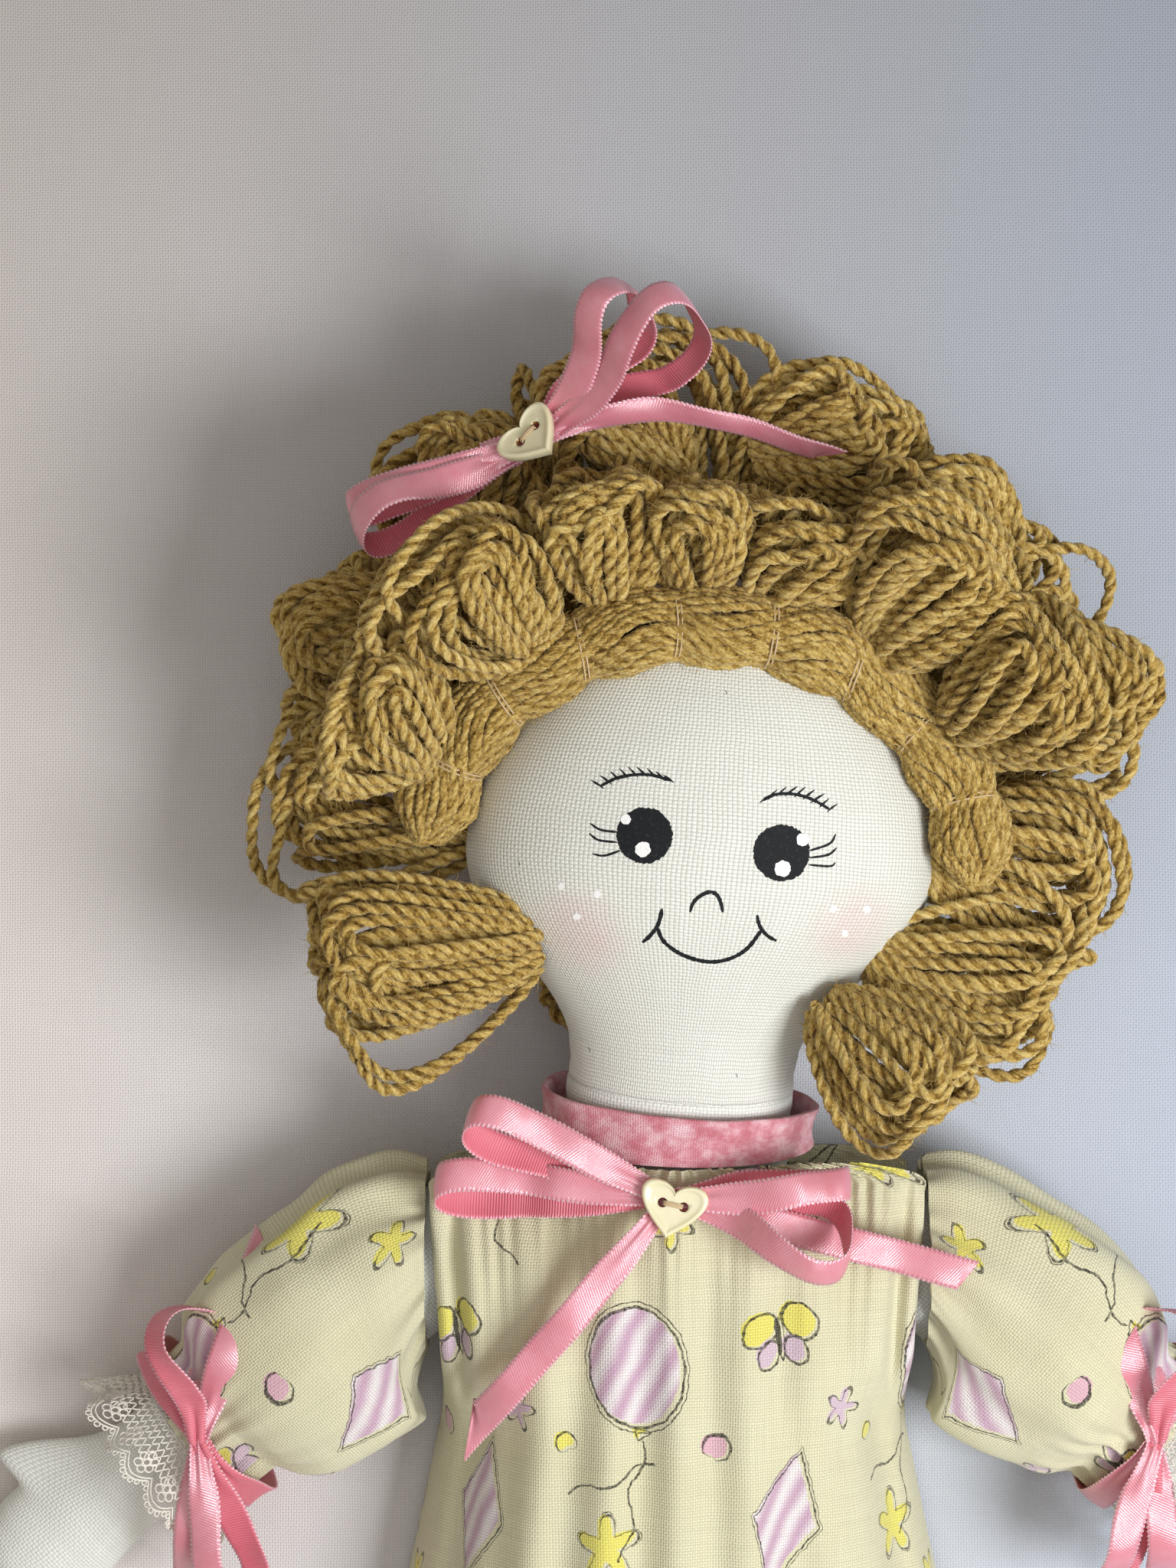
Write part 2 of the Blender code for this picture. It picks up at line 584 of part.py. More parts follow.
def front_height(s, t, folded=True):
    """Height of the front panel at share s across, from -1 to 1, and share t from neck to hem."""
    crown = dress_crown(t)
    in_armhole = 1 - smooth_step((t * DRESS_LENGTH - ARMHOLE_DEPTH * 0.85) / (ARMHOLE_DEPTH * 0.55))
    low = BACK_PANEL_TOP + CLOTH / 2
    edge = low + (ARMHOLE_EDGE_HEIGHT - low) * in_armhole
    edge = min(edge, crown - CLOTH)
    dome = math.sqrt(max(0, 1 - abs(s) ** 2.6))
    height = edge + (crown - edge) * dome
    round_neck = max(collar_height(s * dress_half_width(t)), ARMHOLE_EDGE_HEIGHT)
    height = round_neck + (height - round_neck) * smooth_step(t * 7)
    if folded:
        depth = FOLD_DEPTH_AT_TOP + (FOLD_DEPTH_AT_HEM - FOLD_DEPTH_AT_TOP) * t
        height += depth * (1 - abs(s) ** 2) * (1 + math.cos(math.pi * FRONT_FOLDS * s)) / 2
        away = (abs(s) - PLEAT_PLACE_share) / PLEAT_WIDTH_share
        height -= PLEAT_DEPTH * (1 - in_armhole) * math.exp(-away * away) * smooth_step(t * 3)
    return max(height, low)


def panel(name, height_of, across, down, look, parts):
    rows = []
    for j in range(down + 1):
        t = j / down
        half = dress_half_width(t)
        row = []
        for k in range(across + 1):
            s = 2 * k / across - 1
            row.append(Vector((half * s, DRESS_TOP - DRESS_LENGTH * t, height_of(s, t))))
        rows.append(row)
    return sheet(name, rows, look, parts, CLOTH)


def dress_front(look, parts):
    return panel("dress_front", front_height, 32, 12, look, parts)


def dress_back(look, parts):
    return panel("dress_back", lambda s, t: CLOTH / 2, 8, 9, look, parts)


def hem_lace(name, height_of, look, parts):
    """A frill of lace sewn under the hem, waved a little more than the cloth above it."""
    across = 44
    start = DRESS_TOP - DRESS_LENGTH - SEAT_GAP
    rows = []
    for j in range(2):
        row = []
        for k in range(across + 1):
            s = 2 * k / across - 1
            half = dress_half_width(1) * (1 + 0.03 * j)
            wave = math.cos(math.pi * across / 2 * s)
            row.append(Vector((half * s, start - HEM_LACE_WIDTH * j, height_of(s, j, wave))))
        rows.append(row)
    return sheet(name, rows, look, parts, LACE)


def front_lace_height(s, j, wave):
    low = BACK_PANEL_TOP + CLOTH / 2 + LACE_WAVE * j
    return max(low, front_height(s, 1)) + LACE_WAVE * j * wave


def back_lace_height(s, j, wave):
    return LACE / 2


def sleeve_start():
    """Where the sleeve meets the dress, as a distance along the arm from the shoulder."""
    return (DRESS_ARMHOLE_WIDTH / 2 + CLOTH / 2 + SEAT_GAP - SHOULDER_X) / math.cos(ARM_DROOP)


def sleeve_middle(side, t):
    share = (sleeve_start() + SLEEVE_LENGTH * t + ARM_RADIUS * ARM_TOP_share) / ARM_LENGTH
    centre = arm_middle(side, share)
    depth = SLEEVE_DEPTH / 2 * blend(SLEEVE_ALONG_shares, SLEEVE_DEPTH_shares, t)
    lift = SLEEVE_LIFT * (1 - smooth_step(t))
    return Vector((centre.x, centre.y + lift, max(centre.z, depth * SLEEVE_SINK_share)))


def cuff_radius():
    return ARM_RADIUS + CUFF_EASE + SLEEVE_FOLD_DEPTH + CLOTH / 2


def sleeve_half_sizes(t):
    """Half the sleeve's width and depth at share t of its length, between its folds."""
    half_width = SLEEVE_WIDTH / 2 * blend(SLEEVE_ALONG_shares, SLEEVE_WIDTH_shares, t)
    half_depth = SLEEVE_DEPTH / 2 * blend(SLEEVE_ALONG_shares, SLEEVE_DEPTH_shares, t)
    return max(half_width, cuff_radius()), max(half_depth, cuff_radius())


def sleeve(side, word, look, parts):
    """A puffed sleeve: flat-ended against the dress's side, gathered deepest at the cuff."""
    _, across = arm_directions(side)
    stations = 7
    sides = SLEEVE_FOLDS * 3
    rings = []
    for i in range(stations + 1):
        t = i / stations
        near_shoulder = 1 - smooth_step(t * 2.5)
        tilted = across.lerp(Y, near_shoulder).normalized()
        half_width, half_depth = sleeve_half_sizes(t)
        gather = SLEEVE_FOLD_DEPTH / (SLEEVE_WIDTH / 2) * smooth_step((t - 0.4) / 0.6)
        wave = lambda angle, depth=gather: 1 + depth * math.cos(SLEEVE_FOLDS * angle)
        section = ring(sleeve_middle(side, t), tilted, Z, half_width, half_depth, sides, wave)
        rings.append(above_floor(section, RIBBON + CLOTH / 2 + 2 * SEAT_GAP))
    return tube_shell("sleeve_" + word, rings, look, parts, CLOTH)


def cuff_lace(side, word, look, parts):
    along, across = arm_directions(side)
    start = sleeve_middle(side, 1) + along * (CLOTH / 2 + SEAT_GAP)
    sides = CUFF_LACE_FRILLS * 3
    rings = []
    for j, flare in enumerate((0.0, 0.5, 1.0)):
        radius = cuff_radius() + CUFF_LACE_FLARE * flare
        wave = lambda angle, f=flare: 1 + f * LACE_WAVE / cuff_radius() * math.cos(CUFF_LACE_FRILLS * angle)
        centre = start + along * CUFF_LACE_LENGTH * j / 2
        section = ring(centre, across, Z, radius, radius, sides, wave)
        rings.append(above_floor(section, LACE / 2))
    return tube_shell("cuff_lace_" + word, rings, look, parts, LACE)


def bloomer_half(side, word, look, parts, helpers):
    """Half of the bloomers: the seat on one side of the middle, and the gathered leg below it.

    Its outside and inside are each a loft round the torso and one round the thigh."""
    _, across = leg_directions(side)
    skins = {}
    for label, ease, longer in (("outside", BLOOMER_EASE + CLOTH, 0), ("inside", BLOOMER_EASE, CLOTH)):
        seat_rings = torso_rings(ease, BLOOMER_WAIST + longer)
        thigh_rings = []
        for along_share, puff_share in zip(BLOOMER_ALONG_shares, BLOOMER_PUFF_shares):
            t = (BLOOMER_LEG_LENGTH * along_share - BLOOMER_OVERLAP) / LEG_LENGTH
            t += longer / LEG_LENGTH * ((along_share == 1) - (along_share == 0))
            radius = leg_radius(max(t, LEG_ALONG_shares[3])) + ease + BLOOMER_PUFF * puff_share
            section = ring(leg_middle(side, t), across, Z, radius, radius, LIMB_SIDES)
            thigh_rings.append(above_floor(section, UNDER_CLOTH - ease))
        for part_word, rings in (("seat", seat_rings), ("thigh", thigh_rings)):
            first = label == "outside" and part_word == "seat"
            name = "bloomers_" + word if first else "bloomers_%s_%s_%s_cutter" % (part_word, label, word)
            skins[part_word, label] = loft(name, rings, look, parts if first else helpers)
    half = skins.pop(("seat", "outside"))
    middle = box("bloomers_middle_%s_cutter" % word, -side * TORSO_WIDTH, side * SEAT_GAP / 2, look, helpers)
    join = difference(half, skins["thigh", "outside"])
    join.operation = "UNION"
    for cutter in (skins["seat", "inside"], skins["thigh", "inside"], middle):
        difference(half, cutter)
    for cutter in (*skins.values(), middle):
        cutter.hide_render = True
        cutter.display_type = "WIRE"
    return half


def box(name, x_from, x_to, look, helpers):
    """A block as tall and deep as the doll, for cutting away one side of a piece."""
    size = BLOOMER_LEG_LENGTH + BLOOMER_WAIST
    mesh_data = bpy.data.meshes.new(name)
    bm = bmesh.new()
    bmesh.ops.create_cube(bm, size=1)
    bmesh.ops.scale(bm, vec=(abs(x_to - x_from), 2 * size, 2 * size), verts=bm.verts)
    bmesh.ops.translate(bm, vec=((x_from + x_to) / 2, TORSO_BOTTOM, 0), verts=bm.verts)
    bm.to_mesh(mesh_data)
    bm.free()
    return add_object(name, mesh_data, look, helpers)


def collar(look, parts):
    rings = []
    sides = 24
    start = (COLLAR_LIFT - SEAT_GAP) / NECK_LENGTH
    for j in range(3):
        t = j / 2
        middle, across, _ = neck_frame(start + COLLAR_HEIGHT / NECK_LENGTH * t)
        up = Matrix.Rotation(NECK_LEAN, 3, "X") @ Z
        stand = COLLAR_STAND + COLLAR_FLARE * (2 * t - 1) ** 2
        rings.append(ring(middle, across, up, NECK_WIDTH / 2 + stand, NECK_DEPTH / 2 + stand, sides))
    return tube_shell("collar", rings, look, parts, CLOTH)


def ribbon(name, path, look, parts):
    """A ribbon along path, a list of (point, width direction, share of its full width)."""
    rows = []
    last_way = path[0][1]
    for point, way, share in path:
        if way.dot(last_way) < 0:
            way = -way
        last_way = way
        half = way * (RIBBON_WIDTH / 2 * share)
        rows.append([point - half, point + half])
    return sheet(name, rows, look, parts, RIBBON)


def flat_directions(angle):
    return Vector((math.cos(angle), math.sin(angle), 0)), Vector((-math.sin(angle), math.cos(angle), 0))


def pinched(share):
    return KNOT_PINCH_share + (1 - KNOT_PINCH_share) * smooth_step(share)


def bow_loop(knot, base, angle, length, layer, spread):
    """A loop of a bow: out on one layer, round, and back on the next. base gives what it lies on."""
    out, way = flat_directions(angle)

    def spot(share, passes, rise=0):
        place = knot + out * (length * share)
        held = smooth_step((share - KNOT_REACH_share) / (1 - KNOT_REACH_share))
        height = base(place) + passes * (RIBBON_LAYER + spread * held) + rise
        return Vector((place.x, place.y, height)), way, pinched(share * 2)

    turn = (RIBBON_LAYER + spread) / 2
    path = [spot(share, layer) for share in LOOP_shares]
    for degrees in (-54, -18, 18, 54):
        angle_in_turn = math.radians(degrees)
        reach = 1 - turn * (1 - math.cos(angle_in_turn)) / length
        path.append(spot(reach, layer + 0.5, turn * math.sin(angle_in_turn)))
    path += [spot(share, layer + 1) for share in reversed(LOOP_shares)]
    return path


def bow_tail(knot, base, angle, length, layer, steps=7):
    """A tail of a bow, from the knot to its cut end on what it lies on."""
    out, way = flat_directions(angle)
    path = []
    for k in range(1, steps + 1):
        share = k / steps
        place = knot + out * (length * share)
        fall = smooth_step((length * share - TAIL_HELD_UP) / (length - TAIL_HELD_UP))
        height = base(place) + layer * RIBBON_LAYER * (1 - fall)
        path.append((Vector((place.x, place.y, height)), way, pinched(share * 3)))
    return path


def bow(name, knot, base, loops, tails, spread, look, parts):
    """A bow of one ribbon: a tail, loops wound to and fro across the knot, and the other tail."""
    path = list(reversed(bow_tail(knot, base, math.radians(tails[0][0]), tails[0][1], 0)))
    for layer, (degrees, length) in enumerate(loops):
        path += bow_loop(knot, base, math.radians(degrees), length, layer, spread)[min(layer, 1):]
    path += bow_tail(knot, base, math.radians(tails[1][0]), tails[1][1], len(loops) + 1)
    return ribbon(name, path, look, parts)


def neck_bow_base(place):
    """Height of the ribbon's lowest layer over the dress and the collar."""
    t = (DRESS_TOP - place.y) / DRESS_LENGTH
    s = min(0.7, max(0, abs(place.x) - RIBBON_WIDTH) / dress_half_width(max(t, 0.06)))
    over_dress = front_height(s, max(t, 0), folded=False) + FOLD_DEPTH_AT_TOP + (
        FOLD_DEPTH_AT_HEM - FOLD_DEPTH_AT_TOP) * max(t, 0)
    over_collar = collar_height(min(abs(place.x), COLLAR_SPAN_share * NECK_WIDTH)) + COLLAR_FLARE
    fade = smooth_step((place.y - (DRESS_TOP - RIBBON_WIDTH)) / RIBBON_WIDTH)
    climb = NECK_CLIMB_share * max(0, place.y - DRESS_TOP)
    return max(over_dress, over_dress + (over_collar + climb - over_dress) * fade) + CLOTH + SEAT_GAP


def sleeve_cover(side, place):
    """Height of the sleeve's or its lace's upper side under a place, or 0 beside them."""
    along, across = arm_directions(side)
    from_cuff = place - sleeve_middle(side, 1)
    past, aside = from_cuff.dot(along), from_cuff.dot(across)
    t = min(1, 1 + past / SLEEVE_LENGTH)
    frill = min(1, max(0, past / CUFF_LACE_LENGTH))
    if past > CUFF_LACE_LENGTH + RIBBON_WIDTH or t < 0:
        return 0
    half_width, half_depth = sleeve_half_sizes(t)
    fuller = (1 + frill * LACE_WAVE / cuff_radius())
    half_width = (half_width + frill * CUFF_LACE_FLARE) * fuller + SLEEVE_FOLD_DEPTH
    half_depth = (half_depth + frill * CUFF_LACE_FLARE) * fuller + SLEEVE_FOLD_DEPTH
    round_share = 1 - (aside / half_width) ** 2
    return sleeve_middle(side, t).z + half_depth * math.sqrt(round_share) if round_share > 0 else 0


def cuff_bow(side, word, look, parts):
    """The ribbon round a cuff, tied in a bow on top: a tail, once round, two loops and a tail."""
    flat_along, across = arm_directions(side)
    end = sleeve_middle(side, 1)
    along = (end - sleeve_middle(side, 1 - RIBBON_WIDTH / SLEEVE_LENGTH)).normalized()
    start = end - along * (CLOTH / 2 + RIBBON_WIDTH / 2)
    clear = CLOTH / 2 + 2 * SEAT_GAP + RIBBON / 2
    around = cuff_radius() + SLEEVE_FOLD_DEPTH + clear
    knot = start + Z * around

    def base(place):
        away = Vector((place.x - knot.x, place.y - knot.y, 0)).length
        near = [place + way * RIBBON_WIDTH / 2 for way in (X, -X, Y, -Y)]
        cover = max(sleeve_cover(side, spot) for spot in (place, *near)) + clear
        drooped = knot.z - away * away / (2 * CUFF_BOW_DROOP_RADIUS)
        return max(drooped, cover if away > RIBBON_WIDTH / 2 else knot.z)

    def turned(degrees):
        return math.radians(degrees if side == LEFT else 180 - degrees)

    tails = [(turned(degrees), length) for degrees, length in CUFF_TAIL_LENGTHS]
    path = list(reversed(bow_tail(knot, base, *tails[0], 0)))
    steps = 24
    for k in range(steps + 1):
        angle = math.pi / 2 - side * CIRCLE * k / steps
        lifted = around + CUFF_LAYERS_ROUND * RIBBON_LAYER * k / steps
        place = start + across * (lifted * math.cos(angle)) + Z * (lifted * math.sin(angle))
        place.z = max(place.z, RIBBON / 2)
        near_knot = min(k, steps - k) / steps
        way = flat_along.lerp(along, max(0, math.sin(angle)))
        path.append((place, way, pinched(near_knot * 6)))
    for layer, (degrees, length) in enumerate(CUFF_LOOP_LENGTHS, CUFF_LAYERS_ROUND):
        path += bow_loop(knot, base, turned(degrees), length, layer, CUFF_LOOP_SPREAD)[1:]
    path += bow_tail(knot, base, *tails[1], len(CUFF_LOOP_LENGTHS) + CUFF_LAYERS_ROUND + 2)
    return ribbon("cuff_bow_" + word, path, look, parts)


def heart_point(angle, width):
    """A point of the heart's outline: a round button with a notch above and a point below."""
    x = width / 2 * math.sin(angle) ** 3
    y = width * (0.40 * math.cos(angle) - 0.155 * math.cos(2 * angle) - 0.06 * math.cos(3 * angle) - 0.02)
    return x, y


def button_matrix(centre, turn, lean):
    return Matrix.Translation(centre) @ Matrix.Rotation(turn, 4, "Z") @ Matrix.Rotation(lean, 4, "X")


def button(name, place, look, parts, helpers):
    """A heart button with a rounded rim and two holes."""
    steps = 24
    rim = BUTTON_RIM / BUTTON_THICKNESS
    levels = ((-0.5, 2), (rim - 0.5, 0), (0.5 - rim, 0), (0.5, 3))
    rings = []
    for level, inset in levels:
        points = []
        for k in range(steps):
            x, y = heart_point(CIRCLE * (k + 0.5) / steps, BUTTON_WIDTH - inset * BUTTON_RIM)
            points.append(Vector((x, y, BUTTON_THICKNESS * level)))
        rings.append(points)
    obj = loft(name, rings, look, parts)
    obj.data.transform(place)
    for hole_side in (RIGHT, LEFT):
        middle = Vector((hole_side * BUTTON_HOLE_SPACING / 2, 0, 0))
        ends = [ring(middle + Z * level, X, Y, BUTTON_HOLE / 2, BUTTON_HOLE / 2, 10)
                for level in (-BUTTON_THICKNESS, BUTTON_THICKNESS)]
        cutter = loft(name + "_hole_cutter", ends, look, helpers)
        cutter.hide_render = True
        cutter.display_type = "WIRE"
        cutter.data.transform(place)
        difference(obj, cutter)
    return obj


def difference(obj, cutter):
    cut = obj.modifiers.new(cutter.name, "BOOLEAN")
    cut.operation = "DIFFERENCE"
    cut.object = cutter
    return cut


def button_thread(name, place, look, parts):
    """The stitch that holds the button: over its face, down both holes and ending at its back."""
    half = BUTTON_HOLE_SPACING / 2
    over = BUTTON_THICKNESS / 2 + THREAD / 2 + SEAT_GAP
    under = -BUTTON_THICKNESS / 2
    points = ((-half, under), (-half, over - THREAD / 2), (THREAD / 2 - half, over), (half - THREAD / 2, over),
              (half, over - THREAD / 2), (half, under))
    curve = bpy.data.curves.new(name, "CURVE")
    curve.dimensions = "3D"
    curve.bevel_depth = THREAD / 2
    curve.bevel_resolution = 1
    curve.use_fill_caps = True
    spline = curve.splines.new("POLY")
    spline.points.add(len(points) - 1)
    for point, (x, z) in zip(spline.points, points):
        point.co = (*(place @ Vector((x, 0, z))), 1)
    obj = bpy.data.objects.new(name, curve)
    parts.objects.link(obj)
    curve.materials.append(look)
    return obj


def hair_roll(name, swell, look, parts):
    """The roll of yarn along the hairline, pinched by its stitches. swell makes it a cutter."""
    steps = ROLL_LOBES * 3
    rings = []
    wide = HEAD_WIDTH / 2 + ROLL_OUTSIDE_HEAD
    tall = HEAD_WIDTH / 2 * ROLL_TOP_share
    for i in range(steps + 1):
        angle = math.pi * i / steps
        place = HEAD_CENTRE + Vector((wide * math.cos(angle), tall * math.sin(angle), ROLL_ABOVE_MIDDLE))
        place.z += ROLL_RISE * math.sin(angle) ** 2
        if i in (0, steps):
            place.y -= swell
        out = Vector((math.cos(angle) / wide, math.sin(angle) / tall, 0)).normalized()
        lobe = abs(math.sin(math.pi * ROLL_LOBES * i / steps))
        end = min(1, 0.55 + min(i, steps - i) * 0.2)
        size = (1 - ROLL_PINCH_share * (1 - lobe)) * end
        rings.append(ring(place, out, Z, ROLL_WIDTH / 2 * size + swell, ROLL_DEPTH / 2 * size + swell, 8))
    return loft(name, rings, look, parts)


def curl(name, azimuth, rise, half_angle, depth_share, start, reach, look, parts):
    """A hank of yarn: slim at its stitched root, full near its looped end, fluted by its strands."""
    along = Vector((
        math.cos(rise) * math.cos(azimuth),
        math.cos(rise) * math.sin(azimuth),
        math.sin(rise),
    ))
    across = along.cross(Z).normalized()
    up = across.cross(along)
    sides = CURL_FLUTES * 2
    flute = lambda angle: 1 - CURL_FLUTE_share * (0.5 + 0.5 * math.cos(CURL_FLUTES * angle))
    rings = []
    for t in CURL_ALONG_shares[1:-1]:
        distance = start + (reach - start) * t
        wide = distance * math.tan(half_angle) * blend(CURL_ALONG_shares, CURL_SIZE_shares, t)
        section = ring(HEAD_CENTRE + along * distance, across, up, wide, wide * depth_share, sides, flute)
        rings.append(above_floor(section))
    first, last = HEAD_CENTRE + along * start, HEAD_CENTRE + along * reach
    return loft("curl_" + name, rings, look, parts, first_tip=first, last_tip=last)


def back_curl(name, place, look, parts):
    """A hank pressed flat between the head and the surface."""
    flute = lambda angle: 1 - CURL_FLUTE_share * (0.5 + 0.5 * math.cos(CURL_FLUTES * angle))
    top = HEAD_Z
    rings = []
    for height, size in ((0.0, 0.84), (0.1, 0.97), (0.4, 1.0), (1.0, 0.9)):
        radius = BACK_CURL_WIDTH / 2 * size
        rings.append(ring(place + Z * (top * height), X, Y, radius, radius, CURL_FLUTES * 2, flute))
    return loft("curl_back_" + name, rings, look, parts)


def main():
    clear_scene()
    parts = collection("rag_doll")
    helpers = collection("cutters")
    cotton = material("cotton", COTTON, 0.9)
    printed = material("printed_cotton", PRINTED_COTTON, 0.85)
    pink_cotton = material("pink_cotton", PINK_COTTON, 0.88)
    satin = material("pink_satin", PINK_SATIN, 0.35)
    yarn = material("yarn", YARN, 0.95)
    lace = material("lace", WHITE_LACE, 0.8)
    shell = material("shell_button", SHELL, 0.25)
    thread = material("thread", THREAD_COLOUR, 0.7)

    torso(cotton, parts)
    neck(cotton, parts)
    collar(pink_cotton, parts)
    dress_front(printed, parts)
    dress_back(printed, parts)
    hem_lace("hem_lace_front", front_lace_height, lace, parts)
    hem_lace("hem_lace_back", back_lace_height, lace, parts)

    head_pivot = pivot_empty("head_pivot", HEAD_PIVOT, HEAD_TILT)
    on_head = [head("head", 0, cotton, parts), hair_roll("hair_roll", 0, yarn, parts)]
    head_cutter = head("head_cutter", SEAT_GAP, cotton, helpers)
    roll_cutter = hair_roll("roll_cutter", SEAT_GAP, yarn, helpers)
    for cutter in (head_cutter, roll_cutter):
        cutter.hide_render = True
        cutter.display_type = "WIRE"
    difference(on_head[1], head_cutter)
    curls = []
    for name, azimuth, rise, half_angle, depth_share, start_share, reach_share in CURL_shares:
        angles = [math.radians(degrees) for degrees in (azimuth, rise, half_angle)]
        reach = (HEAD_WIDTH * start_share, HEAD_WIDTH * reach_share)
        curls.append(curl(name, *angles, depth_share, *reach, yarn, parts))
        difference(curls[-1], roll_cutter)
    middle = Vector((HEAD_CENTRE.x, HEAD_CENTRE.y, 0))
    curls.append(back_curl("middle", middle, yarn, parts))
    for i, name in enumerate(BACK_CURL_NAMES):
        out, _ = flat_directions(CIRCLE * i / BACK_CURLS_ROUND)
        curls.append(back_curl(name, middle + out * HEAD_WIDTH * BACK_CURL_RING_share, yarn, parts))
    for hank in curls:
        difference(hank, head_cutter)

    knot = HEAD_CENTRE + Vector((-HAIR_KNOT_LEFT, HAIR_KNOT_UP, HAIR_KNOT_HEIGHT))
    on_head.append(bow("hair_bow", knot, lambda place: knot.z, HAIR_LOOP_LENGTHS, HAIR_TAIL_LENGTHS,
                       HAIR_LOOP_SPREAD, satin, parts))
    on_ribbon = RIBBON_LAYER * (len(HAIR_LOOP_LENGTHS) + 1) + RIBBON / 2 + SEAT_GAP
    on_ribbon += RIBBON_WIDTH / 2 * KNOT_PINCH_share * math.tan(-HAIR_BUTTON_LEAN)
    on_ribbon += BUTTON_THICKNESS / 2 / math.cos(HAIR_BUTTON_LEAN)
    place = button_matrix(knot + Z * on_ribbon, HAIR_BUTTON_TURN, HAIR_BUTTON_LEAN)
    on_head.append(button("hair_button", place, shell, parts, helpers))
    on_head.append(button_thread("hair_button_thread", place, thread, parts))
    carry(head_pivot, HEAD_PIVOT, *on_head, *curls)
    carry(head_pivot, HEAD_PIVOT, *[o for o in helpers.objects])

    knot = Vector((NECK_KNOT_X, TORSO_TOP + NECK_KNOT_PAST_TORSO, 0))
    bow("neck_bow", knot, neck_bow_base, NECK_LOOP_LENGTHS, NECK_TAIL_LENGTHS, NECK_LOOP_SPREAD, satin, parts)
    seat = max(neck_bow_base(knot + way * BUTTON_WIDTH / 2) for way in (X, -X, Y, -Y))
    seat += RIBBON_LAYER * len(NECK_LOOP_LENGTHS) + RIBBON / 2 + 2 * SEAT_GAP
    place = button_matrix(knot + Z * (seat + BUTTON_THICKNESS / 2), NECK_BUTTON_TURN, 0)
    button("neck_button", place, shell, parts, helpers)
    button_thread("neck_button_thread", place, thread, parts)

    for side, word in SIDE_NAMES:
        shoulder = Vector((side * SHOULDER_X, SHOULDER_Y, ARM_Z_AT_SHOULDER))
        on_arm = [arm(side, word, cotton, parts), sleeve(side, word, printed, parts),
                  cuff_lace(side, word, lace, parts), cuff_bow(side, word, satin, parts)]
        carry(pivot_empty("shoulder_" + word, shoulder), shoulder, *on_arm)
        hip = Vector((side * HIP_X, HIP_Y, LEG_Z))
        on_leg = [leg(side, word, cotton, parts), shoe(side, word, pink_cotton, parts)]
        carry(pivot_empty("hip_" + word, hip), hip, *on_leg)
        bloomer_half(side, word, printed, parts, helpers)


main()
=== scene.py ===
"""A cotton rag doll with yarn hair, dressed and lying on its back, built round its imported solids.

Metres throughout, in the solids' own frame: +Z out through the face, +Y to the top of the head.
"""

import math

import bpy
import numpy as np
from mathutils import Matrix, Vector, noise
from mathutils.bvhtree import BVHTree


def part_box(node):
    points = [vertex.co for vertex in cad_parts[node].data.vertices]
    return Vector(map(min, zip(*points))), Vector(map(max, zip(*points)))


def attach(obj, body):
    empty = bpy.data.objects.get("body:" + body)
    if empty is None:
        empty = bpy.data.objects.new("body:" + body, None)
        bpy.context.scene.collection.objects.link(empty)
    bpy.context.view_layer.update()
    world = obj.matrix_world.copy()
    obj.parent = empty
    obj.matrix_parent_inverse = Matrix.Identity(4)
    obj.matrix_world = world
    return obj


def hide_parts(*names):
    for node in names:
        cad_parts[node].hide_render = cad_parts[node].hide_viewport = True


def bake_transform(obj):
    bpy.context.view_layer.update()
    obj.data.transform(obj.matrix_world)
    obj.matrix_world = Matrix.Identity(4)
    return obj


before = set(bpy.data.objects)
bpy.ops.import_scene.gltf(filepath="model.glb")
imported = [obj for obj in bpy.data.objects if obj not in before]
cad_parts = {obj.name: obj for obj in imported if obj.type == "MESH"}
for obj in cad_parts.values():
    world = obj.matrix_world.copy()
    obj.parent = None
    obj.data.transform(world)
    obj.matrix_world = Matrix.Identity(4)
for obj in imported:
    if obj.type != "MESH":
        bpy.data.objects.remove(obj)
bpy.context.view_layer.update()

# The camera. It looks straight down on the doll from arm's length, as the photograph was taken,
# so the head and the chest fill the frame and the skirt runs out of it.
mm = 0.001
CAMERA_PLACE = Vector((-19.5 * mm, 146 * mm, 797 * mm))
SHARP_PLANE = 47 * mm  # height at which the frame is FRAME_HEIGHT tall
FRAME_HEIGHT = 341.3 * mm
SENSOR = 36.0

camera = bpy.data.objects.new("camera", bpy.data.cameras.new("camera"))
bpy.context.scene.collection.objects.link(camera)
camera.location = CAMERA_PLACE
camera.data.sensor_fit = "VERTICAL"
camera.data.sensor_height = SENSOR
camera.data.lens = SENSOR * (CAMERA_PLACE.z - SHARP_PLANE) / FRAME_HEIGHT
camera.data.clip_start = 0.05
bpy.context.scene.camera = camera


# Torso: a bag of bleached calico, stuffed firm with fibre fill and sewn shut at the shoulders.
# The dress hides it. Calico is a plain weave: under-and-over threads with small holes between
# them, painted dark as the shade in them, quite matt, with a faint fuzz.
CALICO_THREAD = 0.8 * mm  # from one thread to the next
WEAVE_RELIEF = 0.16 * mm
TORSO_LENGTH = 128 * mm
TORSO_BOTTOM = -70.4 * mm
TORSO_TOP = TORSO_BOTTOM + TORSO_LENGTH
TORSO_HALF = (39 * mm, 23 * mm)
TORSO_Z = 26.4 * mm
TORSO_ALONG = (0.0, 0.03, 0.1, 0.3, 0.52, 0.72, 0.88, 0.95, 1.0)
TORSO_WIDE = (0.3, 0.62, 0.9, 1.0, 0.95, 0.93, 0.9, 0.8, 0.66)
TORSO_DEEP = (0.24, 0.5, 0.82, 1.0, 1.0, 0.96, 0.88, 0.8, 0.72)
CIRCLE = 2 * math.pi
X, Y, Z = np.eye(3)
draw = np.random.default_rng(7)


